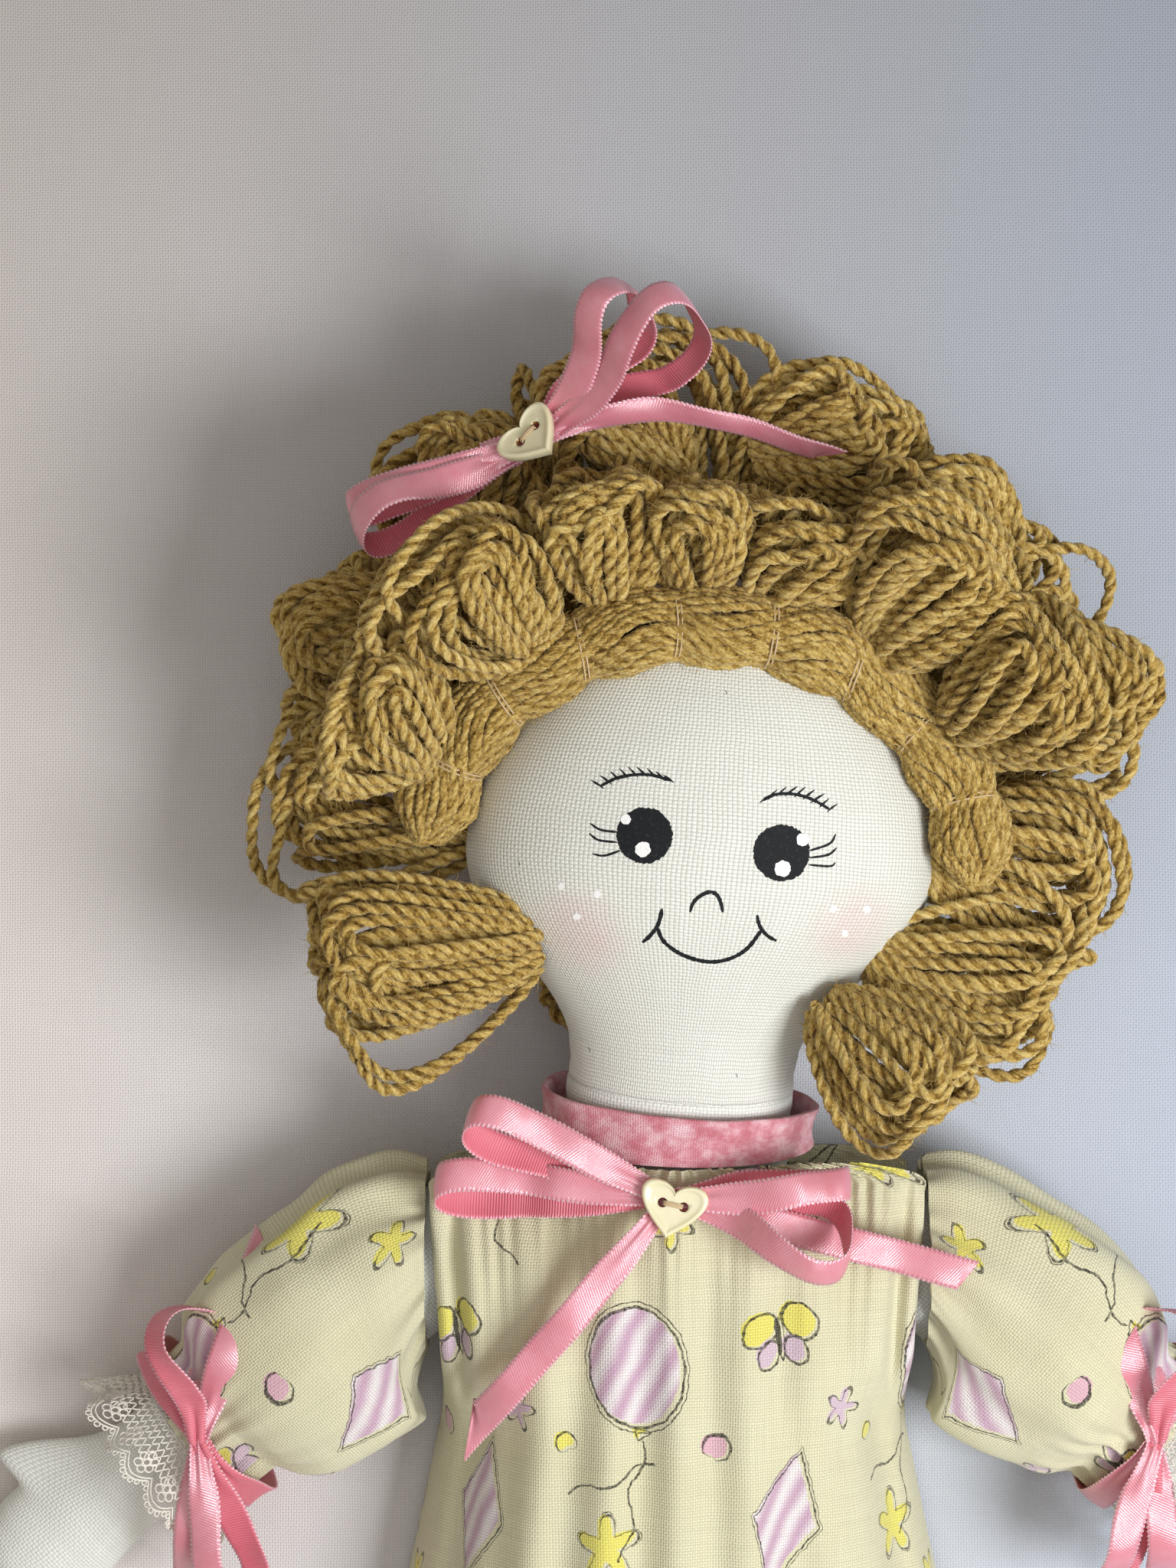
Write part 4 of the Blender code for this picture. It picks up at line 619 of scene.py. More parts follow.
pink_cotton = woven_cotton("mottled_pink_cotton", BOOTEE_THREAD, "A35F6B", 0.42,
                           mottled("F4CFD4", "E2A0AA", "CE7884"))
for side, word in SIDES:
    along, across = leg_directions(side)
    rows = [ring(leg_middle(side, t), across, Z, leg_radius(t), leg_radius(t), limb_angles)
            for t in np.linspace(0, 1, 110)]
    rows = above(rumpled(rows, 0.7 * mm, 13 * mm, 9 + side))
    bare("stuffed_leg_" + word, rows, "leg_" + word, "leg_" + word, calico)
    toe_way = turned(side * SHOE_TURN_OUT, Z, -along)
    wide_way = turned(side * SHOE_TURN_OUT, across, -along)
    ankle = leg_radius(1)
    rows = []
    for down in np.linspace(0, 1, 70):
        wide = float(smooth(SHOE_DOWN, SHOE_WIDE, down))
        heel = ankle * (1 + 0.12 * wide)
        front = ankle + (SHOE_LENGTH - 2 * ankle) * float(smooth(SHOE_DOWN, SHOE_TOE, down))
        half_width = ankle + (SHOE_WIDTH / 2 - ankle) * wide
        middle = leg_middle(side, 1) + along * (0.3 * mm + SHOE_HEIGHT * down) + toe_way * (front - heel) / 2
        sole_seam = 1 - 0.03 * math.exp(-((down - 0.9) / 0.02) ** 2)
        rows.append(ring(middle, wide_way, toe_way, half_width, (front + heel) / 2, limb_angles, sole_seam))
    bootee = skin("stuffed_bootee_" + word, above(rumpled(rows, 0.5 * mm, 12 * mm, 12 + side)), pink_cotton)
    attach(bootee, "leg_" + word)
    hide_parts("shoe_" + word)


# Printed cotton, cut for the bloomers, the dress and the sleeves: pale cream lawn with a sparse
# print of a balloon, a kite, a butterfly and flowers in black line, filled with yellow and pink
# that sits a little off its outline. Ink lies on the threads and misses the holes between them.
PRINT_THREAD = 0.62 * mm
PRINT_WIDTH, PRINT_HEIGHT = 78 * mm, 84 * mm  # of the part of the print that repeats
INK_LINE = 0.6 * mm
SKETCHED_AGAIN = 1.09  # size of a second, thinner outline
FILL_SHIFT = (0.7 * mm, -0.5 * mm)
# Shapes of the print: place across and up its repeat, turn, half sizes, lobes and their depth,
# and the fill: a colour, or stripes of it
PRINTED_SHAPES = (
    (22, 62, 12, 11.0, 13.2, 0, 0.0, "stripes"),
    (22.7, 47.5, 12, 1.8, 1.4, 3, 0.2, "E8DD5A"),
    (57, 28, -14, 8.4, 15.5, 2, -1, "stripes"),
    (50.5, 70, 35, 4.6, 3.4, 0, 0.0, "EFE663"),
    (59.5, 72, -40, 4.6, 3.4, 0, 0.0, "EFE663"),
    (52.5, 64.5, 60, 3.3, 2.4, 0, 0.0, "D9BFD3"),
    (58.8, 65.8, -62, 3.3, 2.4, 0, 0.0, "D9BFD3"),
    (55.4, 68.2, 8, 0.75, 4.6, 0, 0.0, "2A2A28"),
    (15, 23, 20, 7.6, 7.6, 5, 0.3, "EFE663"),
    (30, 9, -15, 5.6, 5.6, 5, 0.3, "EFE663"),
    (71, 52, 0, 4.6, 4.6, 5, 0.3, "D9BFD3"),
    (40, 43, 70, 4.6, 4.6, 1, 0.45, "E6B4C6"),
    (5, 44, 110, 3.4, 3.4, 1, 0.45, "EFE663"),
)
# Strings of the balloon and the kite: where each starts, its way, its length and its wave
PRINTED_STRINGS = ((23, 45.8, -100, 26, 1.3), (62.5, 16.0, -62, 24, 1.6), (5, 34, 18, 22, 1.0))


def printed_distance(look, spot, x, y, turn, half_x, half_y, lobes, depth):
    """How far a place is outside one shape of the print, as a share of the shape's size."""
    own = add(look, "Mapping", {"Vector": spot, "Location": (x * mm, y * mm, 0),
                                "Rotation": (0, 0, math.radians(turn)),
                                "Scale": (half_x * mm, half_y * mm, 1)}, vector_type="TEXTURE")
    if lobes == 2:
        folded = add(look, "VectorMath", {0: own}, operation="ABSOLUTE")
        return add(look, "VectorMath", {0: folded, 1: (1, 1, 0)}, operation="DOT_PRODUCT").outputs["Value"]
    far = add(look, "VectorMath", {0: own}, operation="LENGTH").outputs["Value"]
    if not lobes:
        return far
    apart = add(look, "SeparateXYZ", {0: own})
    angle = add(look, "Math", {0: apart.outputs[1], 1: apart.outputs[0]}, operation="ARCTAN2")
    wave = add(look, "Math", {0: angle, 1: float(lobes)}, operation="MULTIPLY")
    wave = add(look, "Math", {0: wave}, operation="COSINE")
    reach = add(look, "Math", {0: wave, 1: depth, 2: 1 - depth}, operation="MULTIPLY_ADD")
    return add(look, "Math", {0: far, 1: reach}, operation="DIVIDE").outputs[0]


def print_drawing(look, place):
    """The print, drawn over its cream ground."""
    shake = add(look, "TexNoise", {"Vector": place, "Scale": 420, "Detail": 2.0})
    shaken = add(look, "VectorMath", {0: shake.outputs["Color"], 1: (0.0013, 0.0013, 0), 2: place},
                 operation="MULTIPLY_ADD")
    spot = add(look, "VectorMath", {0: shaken, 1: (PRINT_WIDTH, PRINT_HEIGHT, 1), 2: (0, 0, 0)},
               operation="WRAP")
    off_spot = add(look, "VectorMath", {0: spot, 1: (*FILL_SHIFT, 0)}, operation="ADD")
    broken = add(look, "TexNoise", {"Vector": place, "Scale": 1300, "Detail": 2.0})
    bands = add(look, "Mapping", {"Vector": place, "Rotation": (0, 0, 0.5)})
    bands = add(look, "TexWave", {"Vector": bands, "Scale": 62, "Distortion": 2.0, "Detail Scale": 1.0})
    stripes = add(look, "Mix", {0: bands.outputs["Fac"], 6: linear("CDA5C4"), 7: linear("F3ECEF")},
                  data_type="RGBA").outputs[2]
    cloud = add(look, "TexNoise", {"Vector": place, "Scale": 34, "Detail": 2.0})
    colour = add(look, "Mix", {0: cloud, 6: linear("DCD7AE"), 7: linear("E7E5C7")},
                 data_type="RGBA").outputs[2]
    ink = None
    for x, y, turn, half_x, half_y, lobes, depth, fill in PRINTED_SHAPES:
        size = (half_x + half_y) / 2 * mm
        inside = printed_distance(look, off_spot, x, y, turn, half_x, half_y, lobes, depth)
        filled = add(look, "MapRange", {0: inside, 1: 0.98, 2: 0.94, 3: 0.0, 4: 0.92})
        tint = stripes if fill == "stripes" else linear(fill)
        colour = add(look, "Mix", {0: filled, 6: colour, 7: tint}, data_type="RGBA").outputs[2]
        rim = printed_distance(look, spot, x, y, turn, half_x, half_y, lobes, depth)
        near = add(look, "Math", {0: rim, 1: 1.0, 2: INK_LINE / 2 / size}, operation="COMPARE")
        if size > 4 * mm:
            again = add(look, "Math", {0: rim, 1: SKETCHED_AGAIN, 2: INK_LINE / 4 / size},
                        operation="COMPARE")
            near = add(look, "Math", {0: near, 1: again}, operation="MAXIMUM")
        ink = near if ink is None else add(look, "Math", {0: ink, 1: near}, operation="MAXIMUM")
    for x, y, turn, length, wave in PRINTED_STRINGS:
        own = add(look, "Mapping", {"Vector": spot, "Location": (x * mm, y * mm, 0),
                                    "Rotation": (0, 0, math.radians(turn)),
                                    "Scale": (mm, mm, 1)}, vector_type="TEXTURE")
        apart = add(look, "SeparateXYZ", {0: own})
        bend = add(look, "Math", {0: apart.outputs[0], 1: 0.42}, operation="MULTIPLY")
        bend = add(look, "Math", {0: bend}, operation="SINE")
        line = add(look, "Math", {0: bend, 1: wave}, operation="MULTIPLY")
        near = add(look, "Math", {0: apart.outputs[1], 1: line, 2: 0.26}, operation="COMPARE")
        on = add(look, "Math", {0: apart.outputs[0], 1: length / 2, 2: length / 2}, operation="COMPARE")
        string = add(look, "Math", {0: near, 1: on}, operation="MULTIPLY")
        ink = add(look, "Math", {0: ink, 1: string}, operation="MAXIMUM")
    patchy = add(look, "MapRange", {0: broken, 1: 0.42, 2: 0.62, 3: 0.98, 4: 0.62})
    inked = add(look, "Math", {0: ink, 1: patchy}, operation="MULTIPLY")
    return add(look, "Mix", {0: inked, 6: colour, 7: linear("1D1C1A")}, data_type="RGBA").outputs[2]


printed_cotton = woven_cotton("printed_cotton_lawn", PRINT_THREAD, "8F8A66", 0.5, print_drawing)


# Bloomers: two halves of the printed cotton, seamed at the middle, loose over the seat and
# gathered by a thread below each thigh.
BLOOMER_LEG, BLOOMER_WAIST, BLOOMER_OVERLAP = 54 * mm, 46 * mm, 9 * mm
BLOOMER_ALONG = (0.0, 0.16, 0.34, 0.54, 0.72, 0.86, 0.93, 1.0)
BLOOMER_PUFF = (0.0, 0.1, 0.6, 1.0, 0.9, 0.3, 0.2, 0.6)
BODY_HEIGHT = 3.4 * mm
CLOTH = 0.5 * mm


def cloth_of(obj):
    """Gives cloth its thickness, inwards from its right side."""
    shell = obj.modifiers.new("thickness", "SOLIDIFY")
    shell.thickness = CLOTH
    shell.offset = -1
    settled(obj).data.set_sharp_from_angle(angle=math.radians(50))
    return obj


for side, word in SIDES:
    _, across = leg_directions(side)
    seat_angles = np.linspace(-math.pi / 2, math.pi / 2, 61) + (math.pi if side < 0 else 0)
    seat_rows = []
    for j, row in enumerate(torso_rows(1.6 * mm, BLOOMER_WAIST, seat_angles, 40)):
        middle = np.array([0, row[0][1], TORSO_Z])
        gathers = 1 + 0.02 * np.cos(26 * seat_angles) * (j / 39) ** 3
        seat_rows.append(middle + (row - middle) * gathers[:, None])
    seat_rows = above(seat_rows, 1.8 * mm)
    seat_rows[..., 0] = side * np.maximum(side * seat_rows[..., 0], 0.15 * mm)
    thigh_rows = []
    for share in np.linspace(0, 1, 70):
        t = (BLOOMER_LEG * share - BLOOMER_OVERLAP) / LEG_LENGTH
        puff = float(smooth(BLOOMER_ALONG, BLOOMER_PUFF, share))
        gathers = 1 + 0.035 * np.cos(22 * limb_angles) * ease((share - 0.45) / 0.45)
        radius = leg_radius(max(t, 0.11)) + 1.6 * mm + 4.2 * mm * puff
        thigh_rows.append(ring(leg_middle(side, t), across, Z, radius, radius, limb_angles, gathers))
    thigh_rows = above(thigh_rows, BODY_HEIGHT - 1.2 * mm)
    thigh = cloth_of(skin("bloomer_leg_" + word, thigh_rows, printed_cotton, ends=False))
    seat_half = cloth_of(skin("bloomer_seat_" + word, seat_rows, printed_cotton, around=False, ends=False))
    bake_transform(thigh)
    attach(seat_half, "body")
    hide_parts("bloomers_" + word)


# Collar: a folded band of mottled pink cotton, sewn on the dress's gathered edge. It stands away
# from the neck, and its fold makes a soft round upper edge.
COLLAR_HEIGHT = 10.5 * mm
COLLAR_STAND = 4.2 * mm
COLLAR_LIFT = 9.5 * mm
COLLAR_THICK = 1.3 * mm
collar_rows = []
section = np.concatenate([np.linspace((-0.5, 0), (-0.5, 0.93), 8),
                          np.linspace((-0.35, 0.975), (0.35, 0.975), 4),
                          np.linspace((0.5, 0.93), (0.5, 0), 8)])
for angle in np.linspace(0, CIRCLE, 145):
    row = []
    for out, t in section:
        middle, across, _ = neck_frame((COLLAR_LIFT + COLLAR_HEIGHT * t) / NECK_LENGTH)
        up = turned(NECK_LEAN, Z, X)
        slack = 0.35 * mm * math.sin(5 * angle + 1) * t + 0.25 * mm * math.sin(11 * angle) * t
        stand = COLLAR_STAND + 1.0 * mm * (2 * t - 1) ** 2 + out * COLLAR_THICK + slack
        wide, deep = NECK_HALF[0] + stand, NECK_HALF[1] + stand - 2.4 * mm * t
        row.append(middle + across * wide * math.cos(angle) + up * deep * math.sin(angle))
    collar_rows.append(row)
collar_rows = np.swapaxes(np.array(collar_rows), 0, 1)
collar = skin("collar_band", collar_rows, pink_cotton, around=False, ends=False)
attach(collar, "body")
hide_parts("collar")


# Dress: a front and a back panel of the printed cotton, gathered to the collar. The front rises
# over the body, turns down in a deep pleat beside each armhole, and widens to the hem.
DRESS_TOP = 62.7 * mm
DRESS_LENGTH = 172 * mm
ARMHOLE_DEPTH = 46 * mm
ARMHOLE_EDGE = 42.5 * mm
HEM_HEIGHT = 50 * mm
BACK_TOP = 1.4 * mm
SOLID_CLOTH = 1.1 * mm


def dress_half_width(t):
    return smooth((0.0, 0.012, 0.035, ARMHOLE_DEPTH / DRESS_LENGTH, 0.45, 1.0),
                  (40 * mm, 51.5 * mm, 54.2 * mm, 51.8 * mm, 56.5 * mm, 79 * mm), t)


def collar_height(x):
    """Height of the front of the collar's lower edge, x from the middle."""
    middle, _, _ = neck_frame(COLLAR_LIFT / NECK_LENGTH)
    stand = COLLAR_STAND + 1 * mm
    inside = np.maximum(0, 1 - (x / (NECK_HALF[0] + stand)) ** 2)
    return middle[2] + (NECK_HALF[1] + stand) * np.sqrt(inside)


def front_height(s, t, folds=1.0):
    """Height of the front panel at share s across, from -1 to 1, and share t from neck to hem."""
    at_collar = collar_height(0)
    crown = at_collar + (TORSO_Z + TORSO_HALF[1] + 3.5 * mm - at_collar) * ease(t * 4)
    crown = crown + (HEM_HEIGHT - crown) * ease(t * 1.6 - 0.6)
    in_armhole = 1 - ease((t * DRESS_LENGTH - ARMHOLE_DEPTH * 0.85) / (ARMHOLE_DEPTH * 0.55))
    low = BACK_TOP + SOLID_CLOTH / 2
    edge = np.minimum(low + (ARMHOLE_EDGE - low) * in_armhole, crown - SOLID_CLOTH)
    height = edge + (crown - edge) * np.sqrt(np.maximum(0, 1 - np.abs(s) ** 2.6))
    round_neck = np.maximum(collar_height(s * dress_half_width(t)), ARMHOLE_EDGE)
    height = round_neck + (height - round_neck) * ease(t * 7)
    depth = (2.0 + 3.4 * t) * mm * folds
    height = height + depth * (1 - s * s) * (1 + np.cos(math.pi * 7 * s)) / 2
    away = (np.abs(s) - 0.84) / 0.07
    height = height - 5 * mm * folds * (1 - in_armhole) * np.exp(-away * away) * ease(t * 3)
    return np.maximum(height, low)


def front_point_rows(side):
    """One half of the front panel, with the small gathers below the collar and soft creases."""
    s = np.linspace(0, side, 150)
    rows = []
    for t in np.linspace(0, 1, 230):
        x = dress_half_width(t) * s
        y = DRESS_TOP - DRESS_LENGTH * t
        z = front_height(s, t)
        gather = np.exp(-t * DRESS_LENGTH / (14 * mm))
        z = z + 0.75 * mm * gather * np.sin(61 * s + 4 * np.sin(9 * s)) + 0.35 * mm * gather * np.sin(113 * s)
        crease = [noise.noise(Vector((a / 11, (y + a * 0.4) / 42, 3.1)) / mm) for a in x]
        slack = [noise.noise(Vector((a / 24, y / 60, 8.4)) / mm) for a in x]
        z = z + (np.array(crease) * 2.1 + np.array(slack) * 2.8) * mm * ease(t * 9) * (1 - np.abs(s) ** 6)
        sew = np.exp(-((np.abs(s) - 0.91) / 0.035) ** 2) * ease(t * 8) * (1 - ease((t - 0.24) / 0.1))
        z = z - 4.2 * mm * sew
        rows.append(np.stack([x, np.full_like(x, y), np.maximum(z, BACK_TOP + SOLID_CLOTH / 2)], 1))
    return np.array(rows)


def cut_places(rows, centre):
    """The place of each point in the cloth as it was cut, measured along each row from column centre."""
    steps = np.linalg.norm(np.diff(rows, axis=1), axis=2)
    u = np.concatenate([np.zeros((len(rows), 1)), np.cumsum(steps, 1)], 1)
    u -= u[:, centre:centre + 1]
    down = np.linalg.norm(np.diff(rows[:, centre], axis=0), axis=1)
    v = -np.concatenate(([0], np.cumsum(down)))
    return np.stack(np.broadcast_arrays(u, v[:, None]), -1)


print_start = np.array([31 * mm, 20 * mm])
front_halves = {}
for side, word in SIDES:
    rows = front_point_rows(side)
    cloth = cut_places(rows, 0) * (side, 1)
    half = skin("dress_front_" + word, rows, printed_cotton, around=False, ends=False,
                flat=cloth + print_start)
    front_halves[word] = cloth_of(half)
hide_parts("dress_front")

back_rows = []
for t in np.linspace(0, 1, 90):
    s = np.linspace(-1, 1, 121)
    x = dress_half_width(t) * s
    gather = 0.15 * mm * np.exp(-t * 10) * np.sin(70 * s)
    z = 0.55 * mm + 0.25 * mm * np.sin(17 * s + 3 * t) + gather
    back_rows.append(np.stack([x, np.full_like(x, DRESS_TOP - DRESS_LENGTH * t), z], 1))
back_rows = np.array(back_rows)
back_cloth = cut_places(back_rows, 60)
back = skin("dress_back_panel", back_rows, printed_cotton, around=False, ends=False,
            flat=back_cloth + 2 * print_start)
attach(back, "body")
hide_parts("dress_back")


# Lace: cream crochet of mercerised cotton cord, with a header that is sewn under the cloth's edge,
# a net, a row of small flowers and a scalloped edge with picots. The cord has a faint sheen.
LACE_CORD = 0.2 * mm  # its half width
LACE_WIDTH = 15 * mm
FLOWER_SPACING = 8.4
FRONT_LACE, BACK_LACE, CUFF_LACE = 118, 176, 151  # lengths of each frill in mm


def grained_look(name, pale, deep, grain, relief, strength, **sockets):
    """Two tints run together by a fine grain, which is raised too. grain sets its noise."""
    look = new_look(name)
    spot = add(look, "TexCoord").outputs["Object"]
    grains = add(look, "TexNoise", {"Vector": spot, **grain})
    mixed = add(look, "Mix", {0: grains, 6: linear(deep), 7: linear(pale)}, data_type="RGBA")
    bump = add(look, "Bump", {"Height": grains, "Distance": relief, "Strength": strength})
    return shine(look, mixed.outputs[2], bump, **sockets)


crochet = grained_look("mercerised_cotton_cord", "FBF8EE", "D9D3C2", {"Scale": 1900, "Detail": 2.0},
                       0.08 * mm, 0.6, Roughness=0.6, Sheen_Weight=0.2)


def lace_paths(length):
    """The cord's paths in a flat strip of lace, in mm: along its edge, and down from its header."""
    paths = []
    along = np.arange(0, length + 0.25, 0.4)
    for v in (0.5, 2.0):
        paths.append(np.stack([along, np.full_like(along, v)], 1))
    for row in range(6):
        top, height, period = (0.5, 1.5, 1.7) if row == 0 else (2.0 + 1.55 * (row - 1), 1.55, 2.1)
        saw = np.abs(((along / period + 0.5 * (row % 2)) % 1) * 2 - 1)
        paths.append(np.stack([along, top + height * saw], 1))
    count = max(1, round(length / FLOWER_SPACING))
    spacing = length / count
    round_way = np.linspace(0, CIRCLE, 11)
    circle = np.stack([np.cos(round_way), np.sin(round_way)], 1)
    for i in range(count):
        middle = np.array([(i + 0.5) * spacing, 9.6])
        paths.append(middle + 0.75 * circle)
        for k in range(6):
            way = CIRCLE * k / 6 + 0.3
            petal = middle + 1.75 * np.array([math.cos(way), math.sin(way)])
            paths.append(petal + circle * (0.95, 0.8))
    scallop = np.abs(np.sin(math.pi * along / spacing))
    for lower in (0, 0.85):
        paths.append(np.stack([along, 10.9 + 2.3 * scallop + lower], 1))
    for u in np.arange(0.7, length, 1.35):
        v = 12.3 + 2.3 * abs(math.sin(math.pi * u / spacing))
        paths.append(np.array([u, v]) + 0.52 * circle)
    return paths


def tube_faces(count, sides, first):
    """The faces of a tube of count rings, closed at its ends."""
    k = np.arange(sides) + first
    caps = [k.tolist(), (k[::-1] + (count - 1) * sides).tolist()]
    return (grid_quads(count, sides) + first).tolist() + caps


def cord_points(path, radius, sides):
    """Rings of a round cord along path."""
    ways = np.gradient(path, axis=0)
    ways /= np.maximum(np.linalg.norm(ways, axis=1, keepdims=True), 1e-9)
    helper = np.array([0.31, 0.22, 0.93])
    first = np.cross(ways, helper)
    first /= np.maximum(np.linalg.norm(first, axis=1, keepdims=True), 1e-9)
    second = np.cross(ways, first)
    angles = round_angles(sides)
    return (path[:, None] + radius * (np.cos(angles)[None, :, None] * first[:, None]
                                      + np.sin(angles)[None, :, None] * second[:, None]))


def cords(paths, radius, sides):
    """The points and faces of a round cord along each path."""
    points, faces, total = [], [], 0
    for path in paths:
        rings = cord_points(path, radius, sides)
        faces += tube_faces(len(rings), sides, total)
        points.append(rings.reshape(-1, 3))
        total += len(rings) * sides
    return np.concatenate(points), faces


def lace_frill(name, length, surface):
    """Crochet lace laid on a surface(u, v), whose u and v are shares of its length and width."""
    paths = []
    for path in lace_paths(length):
        spots = surface(path[:, 0] / length, path[:, 1] * mm / LACE_WIDTH)
        spots[:, 2] += 0.12 * mm * np.sin(path[:, 0] * 3.1 + path[:, 1] * 2.3)
        paths.append(spots)
    points, faces = cords(paths, LACE_CORD, 5)
    made = piece(name, above(points, 0.02 * mm), faces, crochet)
    return made


HEM_Y = DRESS_TOP - DRESS_LENGTH
hem_half = float(dress_half_width(1))


def front_lace(side):
    def surface(u, v):
        s = side * (0.003 + 0.997 * u)
        x = hem_half * s * (1 + 0.03 * v)
        z = front_height(s, 1.0) - CLOTH + 2.4 * mm * v * np.cos(math.pi * 22 * s)
        return np.stack([x, HEM_Y + 1.2 * mm - LACE_WIDTH * v, np.maximum(z, BACK_TOP + 0.6 * mm)], 1)
    return surface


def back_lace(u, v):
    s = 2 * u - 1
    z = 0.5 * mm + 0.3 * mm * v * (1 + np.cos(math.pi * 24 * s))
    return np.stack([hem_half * s * (1 + 0.03 * v), HEM_Y + 1.2 * mm - LACE_WIDTH * v, z], 1)


for side, word in SIDES:
    frill = lace_frill("hem_lace_front_" + word, FRONT_LACE, front_lace(side))
    if side < 0:
        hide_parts("hem_lace_front")
    for made in (frill, front_halves[word]):
        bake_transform(made)
back_frill = lace_frill("hem_lace_back_frill", BACK_LACE, back_lace)
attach(back_frill, "body")
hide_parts("hem_lace_back")


# Sleeves: the printed cotton, full at the armhole and drawn in at the cuff by a ribbon, so they
# puff between. The gathers are fine at both ends and melt into the puff. Lace edges the cuff.
SLEEVE_LENGTH = 66 * mm
SLEEVE_HALF = (28 * mm, 21.5 * mm)
SLEEVE_ALONG = (0.0, 0.1, 0.25, 0.45, 0.62, 0.76, 0.85, 1.0)
SLEEVE_WIDE = (0.72, 0.9, 0.99, 1.0, 0.96, 0.82, 0.59, 0.59)
SLEEVE_DEEP = (0.88, 0.93, 0.98, 1.0, 0.98, 0.9, 0.775, 0.775)
ARMHOLE_X = 54.5 * mm
SLEEVE_START = (ARMHOLE_X + 0.85 * mm - SHOULDER[0]) / math.cos(ARM_DROOP)
CUFF_RADIUS = 16.75 * mm
CUFF_FLARE = 7.5 * mm
sleeve_angles = round_angles(220)


def sleeve_middle(side, t):
    centre = arm_middle(side, (SLEEVE_START + SLEEVE_LENGTH * t + ARM_TOP) / ARM_LENGTH)
    depth = SLEEVE_HALF[1] * float(smooth(SLEEVE_ALONG, SLEEVE_DEEP, t))
    centre[1] += 2 * mm * (1 - float(ease(t)))
    centre[2] = max(centre[2], depth * 0.94)
    return centre


def sleeve_half_sizes(t):
    wide = SLEEVE_HALF[0] * float(smooth(SLEEVE_ALONG, SLEEVE_WIDE, t))
    deep = SLEEVE_HALF[1] * float(smooth(SLEEVE_ALONG, SLEEVE_DEEP, t))
    return max(wide, CUFF_RADIUS), max(deep, CUFF_RADIUS)


def cuff_lace_surface(side):
    along, across = arm_directions(side)
    start = sleeve_middle(side, 1) - along * 1.2 * mm

    def surface(u, v):
        angle = CIRCLE * u + 0.2
        radius = CUFF_RADIUS - 0.8 * mm + CUFF_FLARE * v + 1.9 * mm * v * np.cos(10 * angle) * (v > 0.15)
        points = (start + np.outer(LACE_WIDTH * v, along) + np.outer(radius * np.cos(angle), across)
                  + np.outer(radius * np.sin(angle), Z))
        points[:, 2] = np.maximum(points[:, 2], 0.3 * mm + 0.3 * mm * (1 + np.cos(10 * angle)) * v)
        return points
    return surface


for side, word in SIDES:
    along, across = arm_directions(side)
    rows = []
    for t in np.linspace(0, 1, 130):
        near_shoulder = 1 - float(ease(t * 2.5))
        tilted = across * (1 - near_shoulder) + Y * near_shoulder
        tilted /= np.linalg.norm(tilted)
        wide, deep = sleeve_half_sizes(t)
        at_cuff, at_top = float(ease((t - 0.62) / 0.3)), math.exp(-t / 0.07)
        wander = sleeve_angles + 0.12 * np.sin(3 * sleeve_angles + side)
        scale = (1 + 0.052 * at_cuff * np.cos(19 * wander) + 0.025 * at_cuff * np.cos(31 * sleeve_angles + 2)
                 + 0.03 * at_top * np.cos(27 * wander)
                 + 0.09 * math.exp(-t / 0.34) * np.cos(9 * wander + 0.8)
                 + 0.022 * math.sin(math.pi * t) * np.cos(6 * sleeve_angles + 1.1 + 2 * t))
        rows.append(ring(sleeve_middle(side, t), tilted, Z, wide, deep, sleeve_angles, scale))
    rows = above(rumpled(rumpled(rows, 1.2 * mm, 13 * mm, 21 + side), 3.4 * mm, 30 * mm, 27 + side), 1.4 * mm)
    sleeve = skin("puffed_sleeve_" + word, rows, printed_cotton, ends=False)
    sleeve = cloth_of(sleeve)
    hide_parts("sleeve_" + word)
    frill = lace_frill("cuff_lace_frill_" + word, CUFF_LACE, cuff_lace_surface(side))
    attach(frill, "arm_" + word)
    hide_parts("cuff_lace_" + word)
    start = np.array([side * (SHOULDER[0] + 4 * mm), SHOULDER[1] - 3 * mm, TORSO_Z])
    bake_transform(sleeve)


# Ribbon bows: 7 mm single-face polyester satin with picot edges, each one length, laid to and fro
# across its knot. The neck's and the hair's are held by a button, and a cuff's goes once round
# the gathers. Satin has long floats of filament, so it glows in bands across its folds.
RIBBON_WIDTH = 7 * mm
RIBBON_LAYER = 0.9 * mm
PICOT_SPACING = 1.05 * mm
PICOT = 0.32 * mm
KNOT_PINCH = 0.5
TAIL_HELD_UP = 17 * mm  # length of a tail that lies on the other layers
RIBBON_COLUMNS = 9


